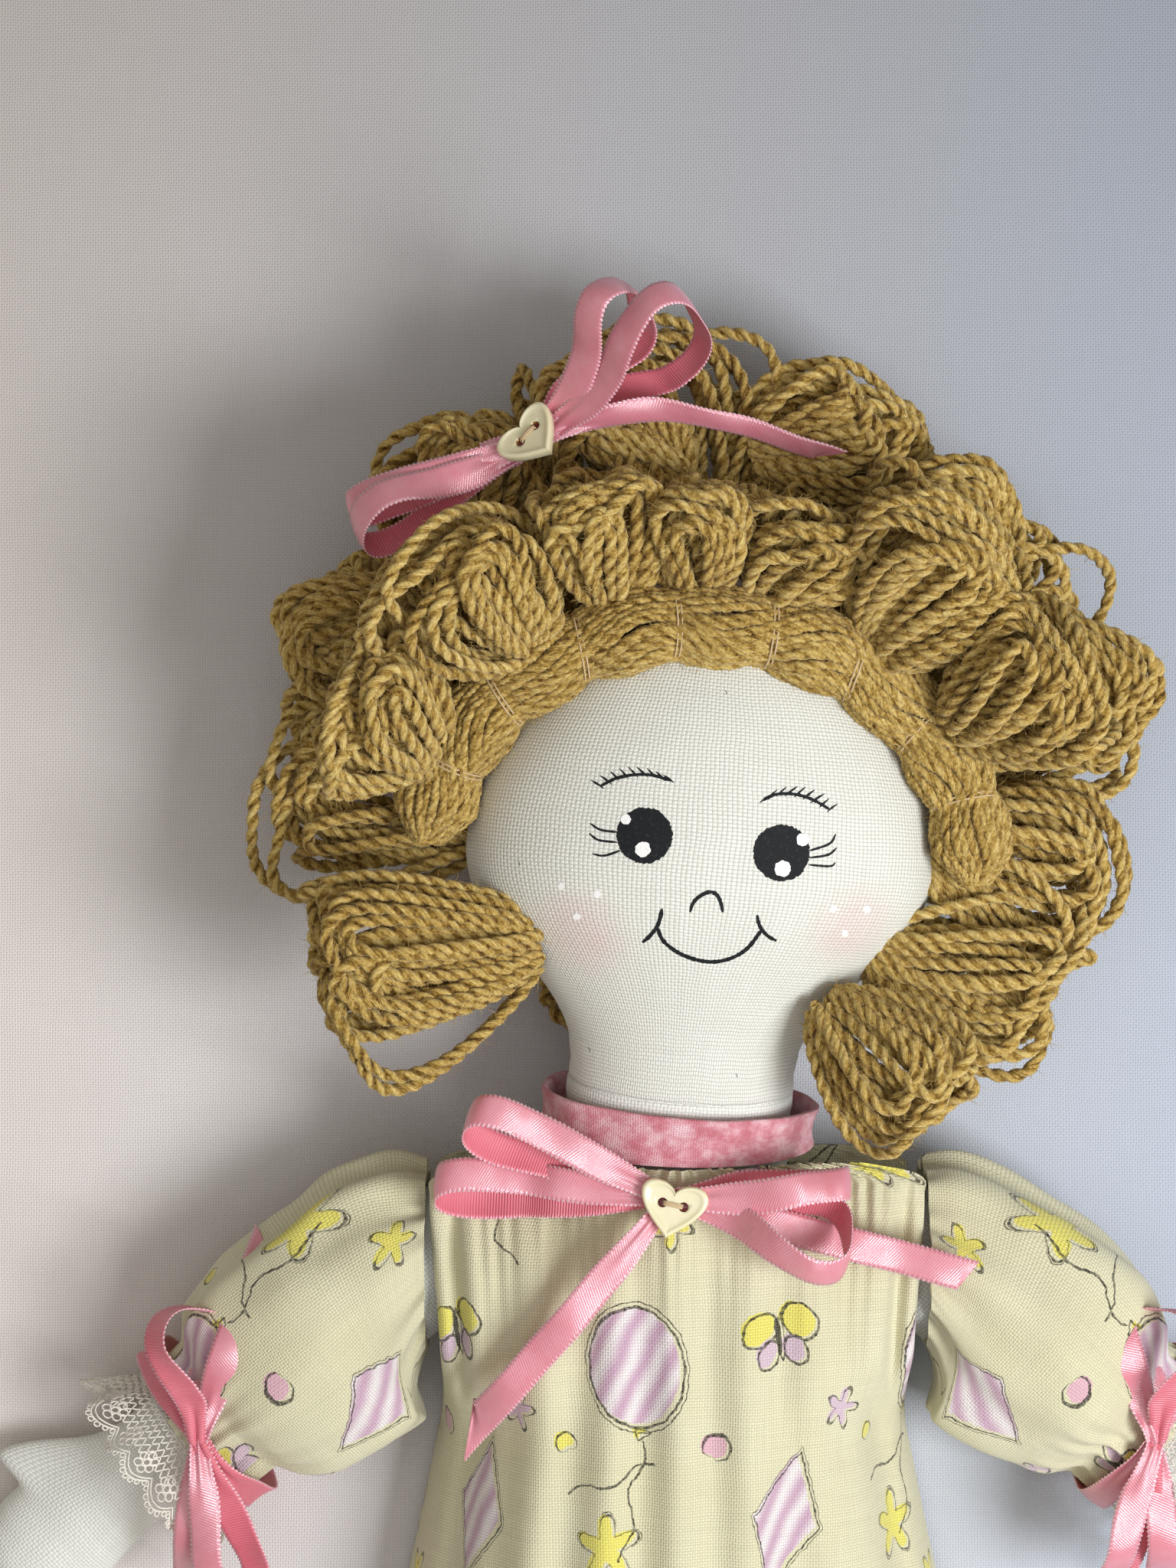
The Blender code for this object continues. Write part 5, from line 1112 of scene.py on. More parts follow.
def satin_look(name, pale, deep, ribbed):
    look = new_look(name)
    place = add(look, "UVMap", uv_map="cloth")
    apart = add(look, "SeparateXYZ", {0: place})
    slant = add(look, "Math", {0: apart.outputs[0], 1: 0.8, 2: apart.outputs[1]}, operation="MULTIPLY_ADD")
    lines = add(look, "Math", {0: apart.outputs[1] if ribbed else slant, 1: CIRCLE / (0.62 * mm)},
                operation="MULTIPLY")
    lines = add(look, "Math", {0: lines}, operation="SINE")
    threads = add(look, "Math", {0: apart.outputs[0], 1: CIRCLE / (0.45 * mm)}, operation="MULTIPLY")
    threads = add(look, "Math", {0: threads}, operation="SINE")
    grain = add(look, "Math", {0: lines, 1: 1.0 if ribbed else threads}, operation="MULTIPLY")
    cloud = add(look, "TexNoise", {"Vector": place, "Scale": 200, "Detail": 2.0})
    soft = add(look, "Mix", {0: cloud, 6: linear(deep), 7: linear(pale)}, data_type="RGBA")
    dots = add(look, "MapRange", {0: grain, 1: -1.0, 2: 1.0, 3: 0.86 if ribbed else 0.88, 4: 1.08})
    toned = add(look, "VectorMath", {0: soft.outputs[2], "Scale": dots}, operation="SCALE")
    from_middle = add(look, "Math", {0: apart.outputs[0]}, operation="ABSOLUTE")
    edge = add(look, "MapRange", {0: from_middle, 1: 0.44 * RIBBON_WIDTH, 2: 0.5 * RIBBON_WIDTH,
                                  3: 0.0, 4: 0.8})
    picots = add(look, "Math", {0: apart.outputs[1], 1: CIRCLE / PICOT_SPACING}, operation="MULTIPLY")
    picots = add(look, "Math", {0: picots}, operation="COSINE")
    picots = add(look, "MapRange", {0: picots, 1: -0.4, 2: 0.7, 3: 0.0, 4: 1.0})
    dotted = add(look, "Math", {0: edge, 1: picots}, operation="MULTIPLY")
    coloured = add(look, "Mix", {0: dotted, 6: toned, 7: linear("F8D5DE")}, data_type="RGBA")
    bump = add(look, "Bump", {"Height": grain, "Distance": (0.12 if ribbed else 0.05) * mm, "Strength": 0.6})
    tangent = add(look, "Tangent", direction_type="UV_MAP", uv_map="cloth")
    return shine(look, coloured.outputs[2], bump, Roughness=0.48 if ribbed else 0.26,
                 IOR=1.5 if ribbed else 1.9, Specular_IOR_Level=0.9,
                 Anisotropic=0.0 if ribbed else 0.55, Tangent=tangent,
                 Sheen_Weight=0.25, Sheen_Roughness=0.3, Sheen_Tint=linear("FFE6F4"),
                 Subsurface_Weight=0.1, Subsurface_Radius=(1.0, 0.35, 0.3), Subsurface_Scale=0.8 * mm)


satin = satin_look("pink_polyester_satin", "F0A0AE", "E07B8B", False)
# The back is the satin's own duller ribbed face; its deeper pink is partly painted shade for the insides of
# the loops, where it shows.
satin_back_painted_shade = satin_look("ribbed_satin_back_painted_shade", "EE8594", "E06C7D", True)


def flat_directions(degrees):
    angle = math.radians(degrees)
    return (np.array([math.cos(angle), math.sin(angle), 0]), np.array([-math.sin(angle), math.cos(angle), 0]))


def pinched(share):
    return KNOT_PINCH + (1 - KNOT_PINCH) * float(ease(share))


def bow_loop(knot, base, degrees, length, lean, opening, spread, layer):
    """One loop: out, round and back. It leans by lean degrees, opens by opening, and its second
    layer lies aside of its first by spread."""
    out, aside = flat_directions(degrees)
    path = []
    for share in np.linspace(-1, 1, 25):
        far = 1 - abs(share) ** 2.2
        fullness = math.sin(math.pi * share) if abs(share) < 1 else 0
        tip = float(ease((far - 0.25) / 0.6))
        tilt = math.radians(lean) * tip
        way = -aside * math.cos(tilt) - Z * math.sin(tilt)
        apart = Z * math.cos(tilt) - aside * math.sin(tilt)
        spot = knot + out * length * far
        rise = (RIBBON_LAYER * (layer + (share + 1) / 2) + RIBBON_WIDTH / 2 * abs(math.sin(tilt))
                + opening * 0.4 * tip)
        spot[2] = base(spot) + rise
        spot = spot + apart * fullness * opening * 0.5 - aside * fullness * spread
        spot[2] = max(spot[2], base(spot) + 0.4 * mm)
        path.append((spot, way, pinched(far * 2.4)))
    return path


def bow_tail(knot, base, degrees, length, curl, tilt, layer):
    """A tail's path from the knot. It bends aside by curl, and tilts its satin aside by tilt."""
    out, aside = flat_directions(degrees)
    path = []
    for share in np.linspace(0, 1, 12)[1:]:
        spot = knot + out * length * share + aside * curl * share ** 2
        fall = float(ease((length * share - TAIL_HELD_UP) / (length - TAIL_HELD_UP)))
        twist = tilt * float(ease(share * 3)) + 0.16 * math.sin(3.2 * share + degrees)
        spot[2] = (base(spot) + layer * RIBBON_LAYER * (1 - fall) + 0.3 * mm
                   + 1.2 * mm * math.sin(math.pi * share) ** 2)
        path.append((spot, aside + Z * twist, pinched(share * 3)))
    return path


def ribbon(name, path, body, node, cuts):
    """A ribbon along path, which gives its points, the way of its width and its share of full
    width. cuts slants its ends."""
    controls = np.array([np.concatenate([spot, way, [share]]) for spot, way, share in path])
    apart = np.concatenate(([True], np.linalg.norm(np.diff(controls[:, :3], axis=0), axis=1) > 0.25 * mm))
    controls = controls[apart]
    scaled = controls.copy()
    scaled[:, 3:] *= mm  # keeps the length of the curve that of its points
    fine = along_curve(scaled, PICOT_SPACING / 4)
    spots, ways, shares = fine[:, :3], fine[:, 3:6], fine[:, 6] / mm
    ways /= np.linalg.norm(ways, axis=1, keepdims=True)
    run = np.arange(len(fine)) * PICOT_SPACING / 4
    total = run[-1]
    along = np.gradient(spots, axis=0)
    along /= np.maximum(np.linalg.norm(along, axis=1, keepdims=True), 1e-9)
    normals = np.cross(along, ways)
    across = np.linspace(-1, 1, RIBBON_COLUMNS)
    sway = 0.8 * mm * np.sin(run / (4.4 * mm) + 1) * np.sin(run / (13 * mm))
    rows, cloth = [], []
    for i, (spot, way, share) in enumerate(zip(spots, ways, shares)):
        half = RIBBON_WIDTH / 2 * share
        picot = PICOT * (0.5 + 0.5 * math.cos(CIRCLE * run[i] / PICOT_SPACING))
        edge = np.abs(across) ** 6 * picot * (0.35 + 0.65 * share)
        pleat = (1 - share) * 1.5 * mm * np.cos(across * math.pi * 2)
        offsets = across * half + np.sign(across) * edge
        slant = np.zeros(RIBBON_COLUMNS)
        for cut, at_end in ((cuts[0], run[i]), (cuts[1], total - run[i])):
            if cut and at_end < abs(cut):
                outwards = 1 if at_end == run[i] else -1
                slant += (across * math.copysign(1, cut) + 1) / 2 * (abs(cut) - at_end) * outwards
        bowed = pleat + sway[i] - 0.45 * mm * across ** 2 + 0.3 * mm * across * math.sin(run[i] / (4 * mm))
        row = spot + np.outer(offsets, way) + np.outer(bowed, normals[i]) + np.outer(slant, along[i])
        rows.append(row)
        cloth.append(np.stack([offsets / max(share, 0.3), np.full(RIBBON_COLUMNS, run[i])], 1))
    made = skin(name, above(rows, 0.4 * mm), satin, around=False, ends=False, flat=np.array(cloth))
    made.data.materials.append(satin_back_painted_shade)
    shell = made.modifiers.new("thickness", "SOLIDIFY")
    shell.thickness = 0.25 * mm
    shell.material_offset = 1
    made = settled(made)
    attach(made, body)
    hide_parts(node)
    return made


def bow(name, knot, base, loops, tails, body, node, cuts, layers=0, round_first=()):
    """A bow. The satin is outside on every loop, because the ribbon is turned over in the knot
    under the button, but not where it is wound round a cuff first."""
    path = [(spot, -way, share) for spot, way, share in reversed(bow_tail(knot, base, *tails[0], 0))]
    path += list(round_first)
    for layer, loop in enumerate(loops, layers):
        path += bow_loop(knot, base, *loop, layer)
    path += bow_tail(knot, base, *tails[1], len(loops) + layers + 1)
    if round_first:
        last = path[0][1]
        for i, (spot, way, share) in enumerate(path):
            last = way if np.dot(way, last) >= 0 else -way
            path[i] = (spot, last, share)
    return ribbon(name, path, body, node, cuts)


def neck_bow_base(spot):
    """Height of the lowest layer of ribbon over the dress and the collar."""
    x, y = spot[0], spot[1]
    t = float(np.clip((DRESS_TOP - y) / DRESS_LENGTH, 0, 1))
    s = min(0.7, max(0, abs(x) - RIBBON_WIDTH) / float(dress_half_width(max(t, 0.06))))
    over_dress = float(front_height(s, t, 0.0)) + (1.2 + 3.0 * t) * mm
    over_collar = float(collar_height(min(abs(x), 0.8 * NECK_HALF[0]))) + 1 * mm
    fade = float(ease((y - (DRESS_TOP - RIBBON_WIDTH)) / RIBBON_WIDTH))
    climb = 0.42 * max(0, y - DRESS_TOP)
    return max(over_dress, over_dress + (over_collar + climb - over_dress) * fade) + 1.9 * mm


NECK_KNOT = np.array([-1.8 * mm, TORSO_TOP - 0.4 * mm, 0])
bow("neck_ribbon", NECK_KNOT, neck_bow_base,
    ((178, 51 * mm, 14, 8 * mm, 2.6 * mm), (-14, 40 * mm, 36, 19 * mm, 1 * mm),
     (158, 47 * mm, 20, 10 * mm, 2.6 * mm), (5, 39 * mm, -22, 12 * mm, 1.5 * mm)),
    ((-15, 68 * mm, 0, 0), (230, 74 * mm, 0, 0)), "body", "neck_bow", (3 * mm, -13 * mm))


# Heart buttons: pale cream cast resin that looks like shell, with a raised rim round a shallow
# dish, two holes and a few turns of thread. Cast resin is glossy and slightly see-through.
BUTTON_WIDTH = 14.5 * mm
BUTTON_HOLE = 1.05 * mm
BUTTON_HOLE_SPACING = 4.6 * mm
BUTTON_THICK = 2.6 * mm
BUTTON_DISH = 0.82 * mm  # height of its dish above its middle
# The button's section: shares of its width, and heights from its middle in mm
BUTTON_PROFILE = (
    (0.02, -1.3), (0.9, -1.3), (0.97, -1.15), (1.0, -0.8), (1.0, 0.5), (0.985, 0.95), (0.95, 1.2), (0.9, 1.3),
    (0.85, 1.24), (0.79, 1.02), (0.73, 0.9), (0.6, 0.84), (0.4, 0.82), (0.2, 0.82), (0.02, 0.82),
)
THREAD_RADIUS = 0.2 * mm


def resin_look(name, pale, deep):
    return grained_look(name, pale, deep, {"Scale": 190, "Detail": 3.0, "Distortion": 1.5}, 0.06 * mm, 0.25,
                        Roughness=0.2, IOR=1.52, Coat_Weight=0.3, Coat_Roughness=0.12,
                        Subsurface_Weight=0.35, Subsurface_Radius=(1.0, 0.8, 0.5),
                        Subsurface_Scale=1.5 * mm)


resin = resin_look("cream_cast_resin", "F0EBCB", "E2DAAE")
# The walls of the drilled holes are painted brown: painted shade in the holes, tinted like the thread that
# goes through them.
resin_painted_hole_shade = resin_look("painted_shade_in_the_holes", "B98A52", "8C5F30")
sewing_thread = grained_look("sewing_thread", "E3CFA6", "B6976A", {"Scale": 2600, "Detail": 2.0},
                             0.05 * mm, 0.6, Roughness=0.55, Sheen_Weight=0.15)


def heart_button(name, place, body):
    """A heart button at place, drilled, with its stitches of thread."""
    angles = CIRCLE * (np.arange(120) + 0.5) / 120
    x = BUTTON_WIDTH / 2 * np.sin(angles) ** 3
    y = BUTTON_WIDTH * (0.40 * np.cos(angles) - 0.155 * np.cos(2 * angles) - 0.06 * np.cos(3 * angles) - 0.02)
    rows = [np.stack([x * size, y * size, np.full_like(x, height * mm)], 1)
            for size, height in BUTTON_PROFILE]
    made = skin(name, rows, resin)
    made.data.materials.append(resin_painted_hole_shade)
    half = BUTTON_HOLE_SPACING / 2
    for side in (1, -1):
        ends = [ring(np.array([side * half, 0, z]), X, Y, BUTTON_HOLE, BUTTON_HOLE, limb_angles)
                for z in (-2 * BUTTON_THICK, 2 * BUTTON_THICK)]
        drill = skin("drill", ends, resin_painted_hole_shade)
        cut = made.modifiers.new("hole", "BOOLEAN")
        cut.operation = "DIFFERENCE"
        cut.object = drill
        cut.solver = "EXACT"
        cut.material_mode = "TRANSFER"
        made = settled(made)
        bpy.data.objects.remove(drill)
    made.data.transform(place)
    turns = []
    for lane in (-0.34 * mm, 0.0, 0.34 * mm):
        top = BUTTON_DISH + 0.28 * mm + 0.1 * mm * (lane == 0)
        rising = ((0.25 * mm, -0.9 * mm), (0.3 * mm, 0.6 * mm), (0.9 * mm, top))
        path = ([(-half + x, lane, z) for x, z in rising] + [(0, lane, top + 0.12 * mm)]
                + [(half - x, lane, z) for x, z in reversed(rising)])
        turns.append(along_curve(path, 0.15 * mm))
    stitch = piece(name + "_stitch", *cords(turns, THREAD_RADIUS, 8), sewing_thread)
    stitch.data.transform(place)
    for obj, node, slot in ((made, name, "shell_button"), (stitch, name + "_thread", "thread")):
        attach(obj, body)
        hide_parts(node)


def button_place(node, turn, lean):
    """Where a button lies: the middle of its solid, turned and leaned as it is."""
    low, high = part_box(node)
    return (Matrix.Translation((low + high) / 2) @ Matrix.Rotation(math.radians(turn), 4, "Z")
            @ Matrix.Rotation(math.radians(lean), 4, "X"))


heart_button("neck_button", button_place("neck_button", -13, 0), "body")


# Cuff bows: the same ribbon, drawn tight round each cuff over the sleeve's gathers. It is tied on
# top, and its loops and tails droop over the puff and the lace.
BOW_DROOP = 40 * mm  # radius of the arc in which they droop
CUFF_STEPS = 24  # steps of the ribbon's way round the cuff
for side, word in SIDES:
    flat_along, across = arm_directions(side)
    end = sleeve_middle(side, 1)
    along = end - sleeve_middle(side, 1 - RIBBON_WIDTH / SLEEVE_LENGTH)
    along /= np.linalg.norm(along)
    start = end - along * (0.55 * mm + RIBBON_WIDTH / 2)
    around = CUFF_RADIUS + 2.6 * mm
    knot = start + Z * around

    def cuff_base(spot, side=side, knot=knot, end=end, across=across, flat_along=flat_along):
        away = math.hypot(spot[0] - knot[0], spot[1] - knot[1])
        drooped = knot[2] - away * away / (2 * BOW_DROOP)
        past, aside = np.dot(spot - end, flat_along), np.dot(spot - end, across)
        if past > LACE_WIDTH + 4 * mm:
            return max(drooped, 1.5 * mm)
        wide, deep = sleeve_half_sizes(min(1, max(0, 1 + past / SLEEVE_LENGTH)))
        flare = CUFF_FLARE * min(1, max(0, past / LACE_WIDTH))
        inside = 1 - (aside / (wide + flare + 2 * mm)) ** 2
        cover = end[2] + (deep + flare + 2.2 * mm) * math.sqrt(inside) if inside > 0 else 0
        return max(drooped, cover, 1.5 * mm)

    def at(degrees, side=side):
        return degrees if side < 0 else 180 - degrees

    wound = []
    for k in range(CUFF_STEPS + 1):
        angle = math.pi / 2 - side * CIRCLE * k / CUFF_STEPS
        lifted = around + 2 * RIBBON_LAYER * k / CUFF_STEPS
        spot = start + across * (lifted * math.cos(angle)) + Z * (lifted * math.sin(angle))
        spot[2] = max(spot[2], 0.6 * mm)
        share = max(0, math.sin(angle))
        way = flat_along * (1 - share) + along * share
        wound.append((spot, way, pinched(min(k, CUFF_STEPS - k) / CUFF_STEPS * 6)))
    lean = -side
    bow("cuff_ribbon_" + word, knot, cuff_base,
        ((at(283), 37 * mm, 24 * lean, 8 * mm, 3 * mm), (at(95), 29 * mm, -46 * lean, 17 * mm, 0)),
        ((at(264), 40 * mm, 0, 0), (at(72), 48 * mm, 0, 0)),
        "arm_" + word, "cuff_bow_" + word, (4 * mm, -9 * mm), layers=2, round_first=wound)


# Hair: hanks of soft two-ply wool, golden tan, stitched down at their roots in two rings, so that
# their loops fan out and curl over. Wool scatters light, so it has no gloss. Its plies are painted
# pale on their crowns and brown in the grooves between, as painted shade, and loose fibres stand
# off it in a haze.
YARN_RADIUS = 1.5 * mm
YARN_TWIST = 7.6 * mm  # length of one full turn of its two plies
YARN_STEP = 0.8 * mm
YARN_SIDES = 10
HANK_WOOL = (YARN_RADIUS, 0.36, 0.15)  # half width, fluff, and how even it is
FIBRE = 0.05 * mm
HEAD_WIDTH = 2 * HEAD_HALF[0]
ply_angles = round_angles(YARN_SIDES)
ply_section = 0.42 * np.abs(np.cos(ply_angles)) + np.sqrt(0.6 ** 2 - (0.42 * np.sin(ply_angles)) ** 2)
PLY_LOW, PLY_HIGH = 0.43, 1.02


def wool_look():
    look = new_look("two_ply_wool")
    ply, side, run, tone = [add(look, "Attribute", attribute_name=word).outputs["Fac"]
                            for word in ("ply", "side", "run", "tone")]
    place = add(look, "CombineXYZ", {0: ply, 1: side, 2: run})
    streaks = add(look, "Mapping", {"Vector": place, "Scale": (5.5, 5.5, 420)})
    fibres = add(look, "TexNoise", {"Vector": streaks, "Scale": 1.0, "Detail": 3.0, "Roughness": 0.7})
    spot = add(look, "TexCoord").outputs["Object"]
    flecks = add(look, "TexNoise", {"Vector": spot, "Scale": 1400, "Detail": 2.0})
    # Painted shade: the wool darkens in the grooves between its plies and is pale on their crowns.
    crown = add(look, "MapRange", {0: ply, 1: 0.05, 2: 0.8, 3: 0.0, 4: 0.62})
    lit = add(look, "MapRange", {0: fibres, 1: 0.34, 2: 0.68, 3: -0.26, 4: 0.34})
    fleck = add(look, "MapRange", {0: flecks, 1: 0.35, 2: 0.65, 3: -0.12, 4: 0.14})
    pale = add(look, "Math", {0: crown, 1: lit}, operation="ADD")
    pale = add(look, "Math", {0: pale, 1: fleck}, operation="ADD")
    pale = add(look, "Math", {0: pale, 1: tone}, operation="ADD", use_clamp=True)
    ramp = add(look, "ValToRGB", {0: pale})
    stops = ramp.color_ramp.elements
    stops[0].color, stops[1].color = linear("4C330F"), linear("E9D48E")
    for at, colour in ((0.3, "8E6F30"), (0.62, "C3A45A")):
        stops.new(at).color = linear(colour)
    bump = add(look, "Bump", {"Height": fibres, "Distance": 0.25 * mm, "Strength": 0.7})
    return shine(look, ramp, bump, Roughness=0.95, Specular_IOR_Level=0.15, Sheen_Weight=0.5,
                 Sheen_Roughness=0.5, Sheen_Tint=linear("F6E3B4"))


wool = wool_look()


def yarn_piece(name, paths, radius, fluff, even, hair_count, node, seed, step=YARN_STEP):
    """Twisted yarn along paths, with loose fibres that stand off it. fluff rounds it, and even
    evens out the painted shade in the grooves between its plies."""
    roll = np.random.default_rng(seed + 100)
    curves, runs = [], []
    for path in paths:
        fine = along_curve(path, YARN_STEP / 2)
        fine[:, 2] = np.maximum(fine[:, 2], radius * 0.9)
        steps = np.linalg.norm(np.diff(fine, axis=0), axis=1)
        curves.append(fine)
        runs.append(np.concatenate(([0], np.cumsum(steps))))
    count = int(max(run[-1] for run in runs) / step)
    shares = np.linspace(0, 1, count)
    lines = np.array([[np.interp(shares * run[-1], run, fine[:, axis]) for axis in range(3)]
                      for fine, run in zip(curves, runs)]).transpose(0, 2, 1)
    run = np.array([run[-1] for run in runs])[:, None] * shares
    ways = np.gradient(lines, axis=1)
    ways /= np.maximum(np.linalg.norm(ways, axis=2, keepdims=True), 1e-9)
    first = np.zeros_like(ways)
    held = np.cross(ways[:, 0], (0.3, 0.5, 0.8))
    for j in range(count):
        held = held - (held * ways[:, j]).sum(1, keepdims=True) * ways[:, j]
        held /= np.maximum(np.linalg.norm(held, axis=1, keepdims=True), 1e-9)
        first[:, j] = held
    second = np.cross(ways, first)
    many = len(lines)
    turn = CIRCLE * run / YARN_TWIST + roll.uniform(0, CIRCLE, (many, 1))
    thick = radius * (1 + 0.07 * np.sin(run / (3.1 * mm) + roll.uniform(0, CIRCLE, (many, 1))))
    angles = turn[..., None] + ply_angles
    reach = thick[..., None] * (fluff + (1 - fluff) * ply_section)
    outs = np.cos(angles)[..., None] * first[:, :, None] + np.sin(angles)[..., None] * second[:, :, None]
    rings = lines[:, :, None] + reach[..., None] * outs
    faces, size = [], count * YARN_SIDES
    for k in range(many):
        faces += tube_faces(count, YARN_SIDES, k * size)
    strands = rings.reshape(-1, 3)
    shape = (many, count, YARN_SIDES)
    # ply gives how high each point stands on its ply; the wool turns it into painted shade in the grooves.
    tones = {"ply": 0.6 * even + (1 - even) * (ply_section - PLY_LOW) / (PLY_HIGH - PLY_LOW),
             "side": np.sin(ply_angles),
             "run": (run + roll.uniform(0, 9, (many, 1)))[..., None],
             "tone": roll.uniform(-0.1, 0.1, (many, 1, 1))}
    tones = {word: np.broadcast_to(values, shape).ravel() for word, values in tones.items()}
    picked = roll.integers(0, len(strands), hair_count)
    start, out = strands[picked], outs.reshape(-1, 3)[picked]
    lean = out + roll.normal(0, 0.9, (hair_count, 3))
    lean /= np.linalg.norm(lean, axis=1, keepdims=True)
    bend = lean + roll.normal(0, 0.9, (hair_count, 3))
    bend /= np.linalg.norm(bend, axis=1, keepdims=True)
    length = roll.uniform(1.2, 4.2, (hair_count, 1)) * mm
    middle, tip = start + lean * length * 0.55, start + lean * length * 0.55 + bend * length * 0.5
    for spots in (middle, tip):
        spots[:, 2] = np.maximum(spots[:, 2], 0.2 * mm)
    aside = np.cross(lean, bend)
    aside /= np.maximum(np.linalg.norm(aside, axis=1, keepdims=True), 1e-9)
    below = np.cross(aside, lean)
    hair = []
    for spot, half in ((start, FIBRE), (middle, 0.7 * FIBRE)):
        behind = spot - aside * half * 0.5
        hair += [spot + aside * half, behind + below * half, behind - below * half]
    hair = np.stack(hair + [tip], 1).reshape(-1, 3)
    base = len(strands) + 7 * np.arange(hair_count)[:, None]
    for corners in ([0, 1, 4, 3], [1, 2, 5, 4], [2, 0, 3, 5], [3, 4, 6], [4, 5, 6], [5, 3, 6], [0, 2, 1]):
        faces += (base + corners).tolist()
    for word, value in (("ply", 0.7), ("side", 0.0), ("run", 0.0), ("tone", 0.08)):
        tones[word] = np.concatenate([tones[word], np.full(len(hair), value)])
    made = piece(name, np.concatenate([strands, hair]), faces, wool, tones)
    made.data.transform(TILTED)
    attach(made, "head")
    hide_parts(node)


def hank_paths(middle, along, across, up, sizes, seed, nested=False):
    """The loops of a hank. They leave its root, swell over an egg-shaped form, turn over near its
    far end and come back beside where they went out. sizes: half its length, width and depth.
    Nested ones lie one within another on top."""
    roll = np.random.default_rng(seed)
    half_long, half_wide, half_deep = sizes
    swirl = roll.choice((-1, 1)) * roll.uniform(0.15, 0.5)
    sweep = roll.uniform(-0.2, 0.2) * half_wide
    root = math.radians(-64)
    paths = []
    for low, high, layer, count in ((-80, 80, 1.0, 10), (-66, 66, 0.66, 7), (105, 255, 0.9, 6)):
        for k in range(count):
            at = math.radians(low + (high - low) * (k + 0.5) / count + roll.uniform(-5, 5))
            opened = math.radians(roll.uniform(10, 58)) * roll.choice((-1, 1))
            deep = layer * roll.uniform(0.84, 1.08)
            stray = layer == 1.0 and roll.random() < 0.2
            end = math.radians(roll.uniform(46, 80))
            if nested and layer == 1.0:
                at = roll.normal(0, 0.2)
                opened = math.radians(8 + 78 * (k + 0.5) / count + roll.uniform(-3, 3))
                end = math.radians(38 + 44 * (k + 0.5) / count)
            far = 1.15 if stray else roll.uniform(0.88, 1.05)
            own = turned(roll.normal(0, 0.15), along, up)
            own_up = turned(roll.normal(0, 0.14), up, across)
            wave = roll.uniform(0, CIRCLE, 2)
            path = []
            for share in np.linspace(-1, 1, 25):
                height = root + (end - root) * (1 - abs(share) ** 2.3)
                way_round = (at + opened * math.sin(math.pi / 2 * min(1, max(-1, share / 0.6)))
                             + swirl * math.sin(height))
                swell = math.cos(height) ** 0.6 * (0.8 + 0.29 * math.sin(height)) * deep
                wobble = 0.6 * mm * math.sin(9 * share + wave[0]) * (1 - abs(share))
                out = half_long * (1 + math.sin(height) * (far if height > 0 else 1)) + wobble
                path.append(middle - along * half_long + own * out
                            + across * (half_wide * math.sin(way_round) * swell + sweep * math.sin(height))
                            + own_up * (half_deep * math.cos(way_round) * swell + wobble * math.cos(wave[1])))
            paths.append(np.array(path))
    return paths


# The hanks, from the lower right round over the top: name, degrees round the face, degrees towards
# the front, half width in degrees seen from the head's middle, depth as a share of width, and from
# where to where they reach, as shares of the head's width
HANKS = (
    ("lower_right", -41, 17, 11.6, 1.0, 0.38, 0.74),
    ("right_low", -19, 4, 11.5, 1.2, 0.40, 0.80),
    ("right", 5, -2, 12.0, 1.25, 0.44, 0.85),
    ("right_high", 30, -8, 12.2, 1.25, 0.46, 0.94),
    ("top_right", 55, -8, 12.2, 1.28, 0.50, 1.0),
    ("top", 79, -8, 11.8, 1.28, 0.52, 1.08),
    ("top_left", 103, -8, 12.0, 1.28, 0.52, 1.12),
    ("left_high", 127, -8, 11.8, 1.28, 0.50, 1.05),
    ("left", 150, -8, 11.2, 1.28, 0.46, 0.98),
    ("left_low", 173, -7, 11.6, 1.25, 0.44, 0.90),
    ("lower_left", 204, 14, 14.5, 1.0, 0.40, 0.86),
    ("temple_right", 33, 20, 10.6, 1.0, 0.60, 0.92),
    ("fringe_right", 56, 20, 11.6, 1.0, 0.58, 0.94),
    ("fringe_mid_right", 77, 20, 9.3, 1.1, 0.56, 0.80),
    ("fringe_mid", 95, 20, 8.4, 1.1, 0.56, 0.81),
    ("fringe_mid_left", 112, 20, 8.4, 1.1, 0.56, 0.86),
    ("fringe_left", 135, 19, 13.4, 1.0, 0.58, 0.92),
    ("temple_left", 161, 20, 11.2, 1.0, 0.62, 0.88),
)
# Some loops of each outer hank fall back on its middle, as short curls behind the inner ring
CROWN_CURLS = 93 * mm  # from the head's middle
CROWN_SIZES = (14.5 * mm, 13 * mm, 10.5 * mm)
CROWN_LOOPS = 17
CROWN_TURN = math.radians(60)
for number, (name, azimuth, rise, half_angle, deep_share, start, reach) in enumerate(HANKS):
    flat_way, _ = flat_directions(azimuth)
    lift = math.radians(rise)
    along = flat_way * math.cos(lift) + Z * math.sin(lift)
    across = np.cross(along, Z)
    across /= np.linalg.norm(across)
    up = np.cross(across, along)
    start += 0.035 if rise > 15 else 0
    middle = (start + reach) / 2 * HEAD_WIDTH
    half_wide = middle * math.tan(math.radians(half_angle)) * (1.42 if rise < 0 else 1.26)
    half_deep = half_wide * (min(deep_share, 1.1) * 0.82 if rise < 0 else 1.0)
    sizes = ((reach - start) * HEAD_WIDTH / 1.86, half_wide, half_deep)
    nested = rise > 10 or number % 4 > 0
    paths = hank_paths(HEAD_CENTRE + along * middle, along, across, up, sizes, number, nested)
    if rise < 0 and reach > 0.9:
        curled_way = turned(CROWN_TURN * (-1) ** number, flat_way, Z)
        curl = hank_paths(HEAD_CENTRE + flat_way * CROWN_CURLS, curled_way, np.cross(curled_way, Z), Z,
                          CROWN_SIZES, 30 + number, True)
        paths += curl[:CROWN_LOOPS]
    yarn_piece("hank_" + name, paths, *HANK_WOOL, 2200, "curl_" + name, number)

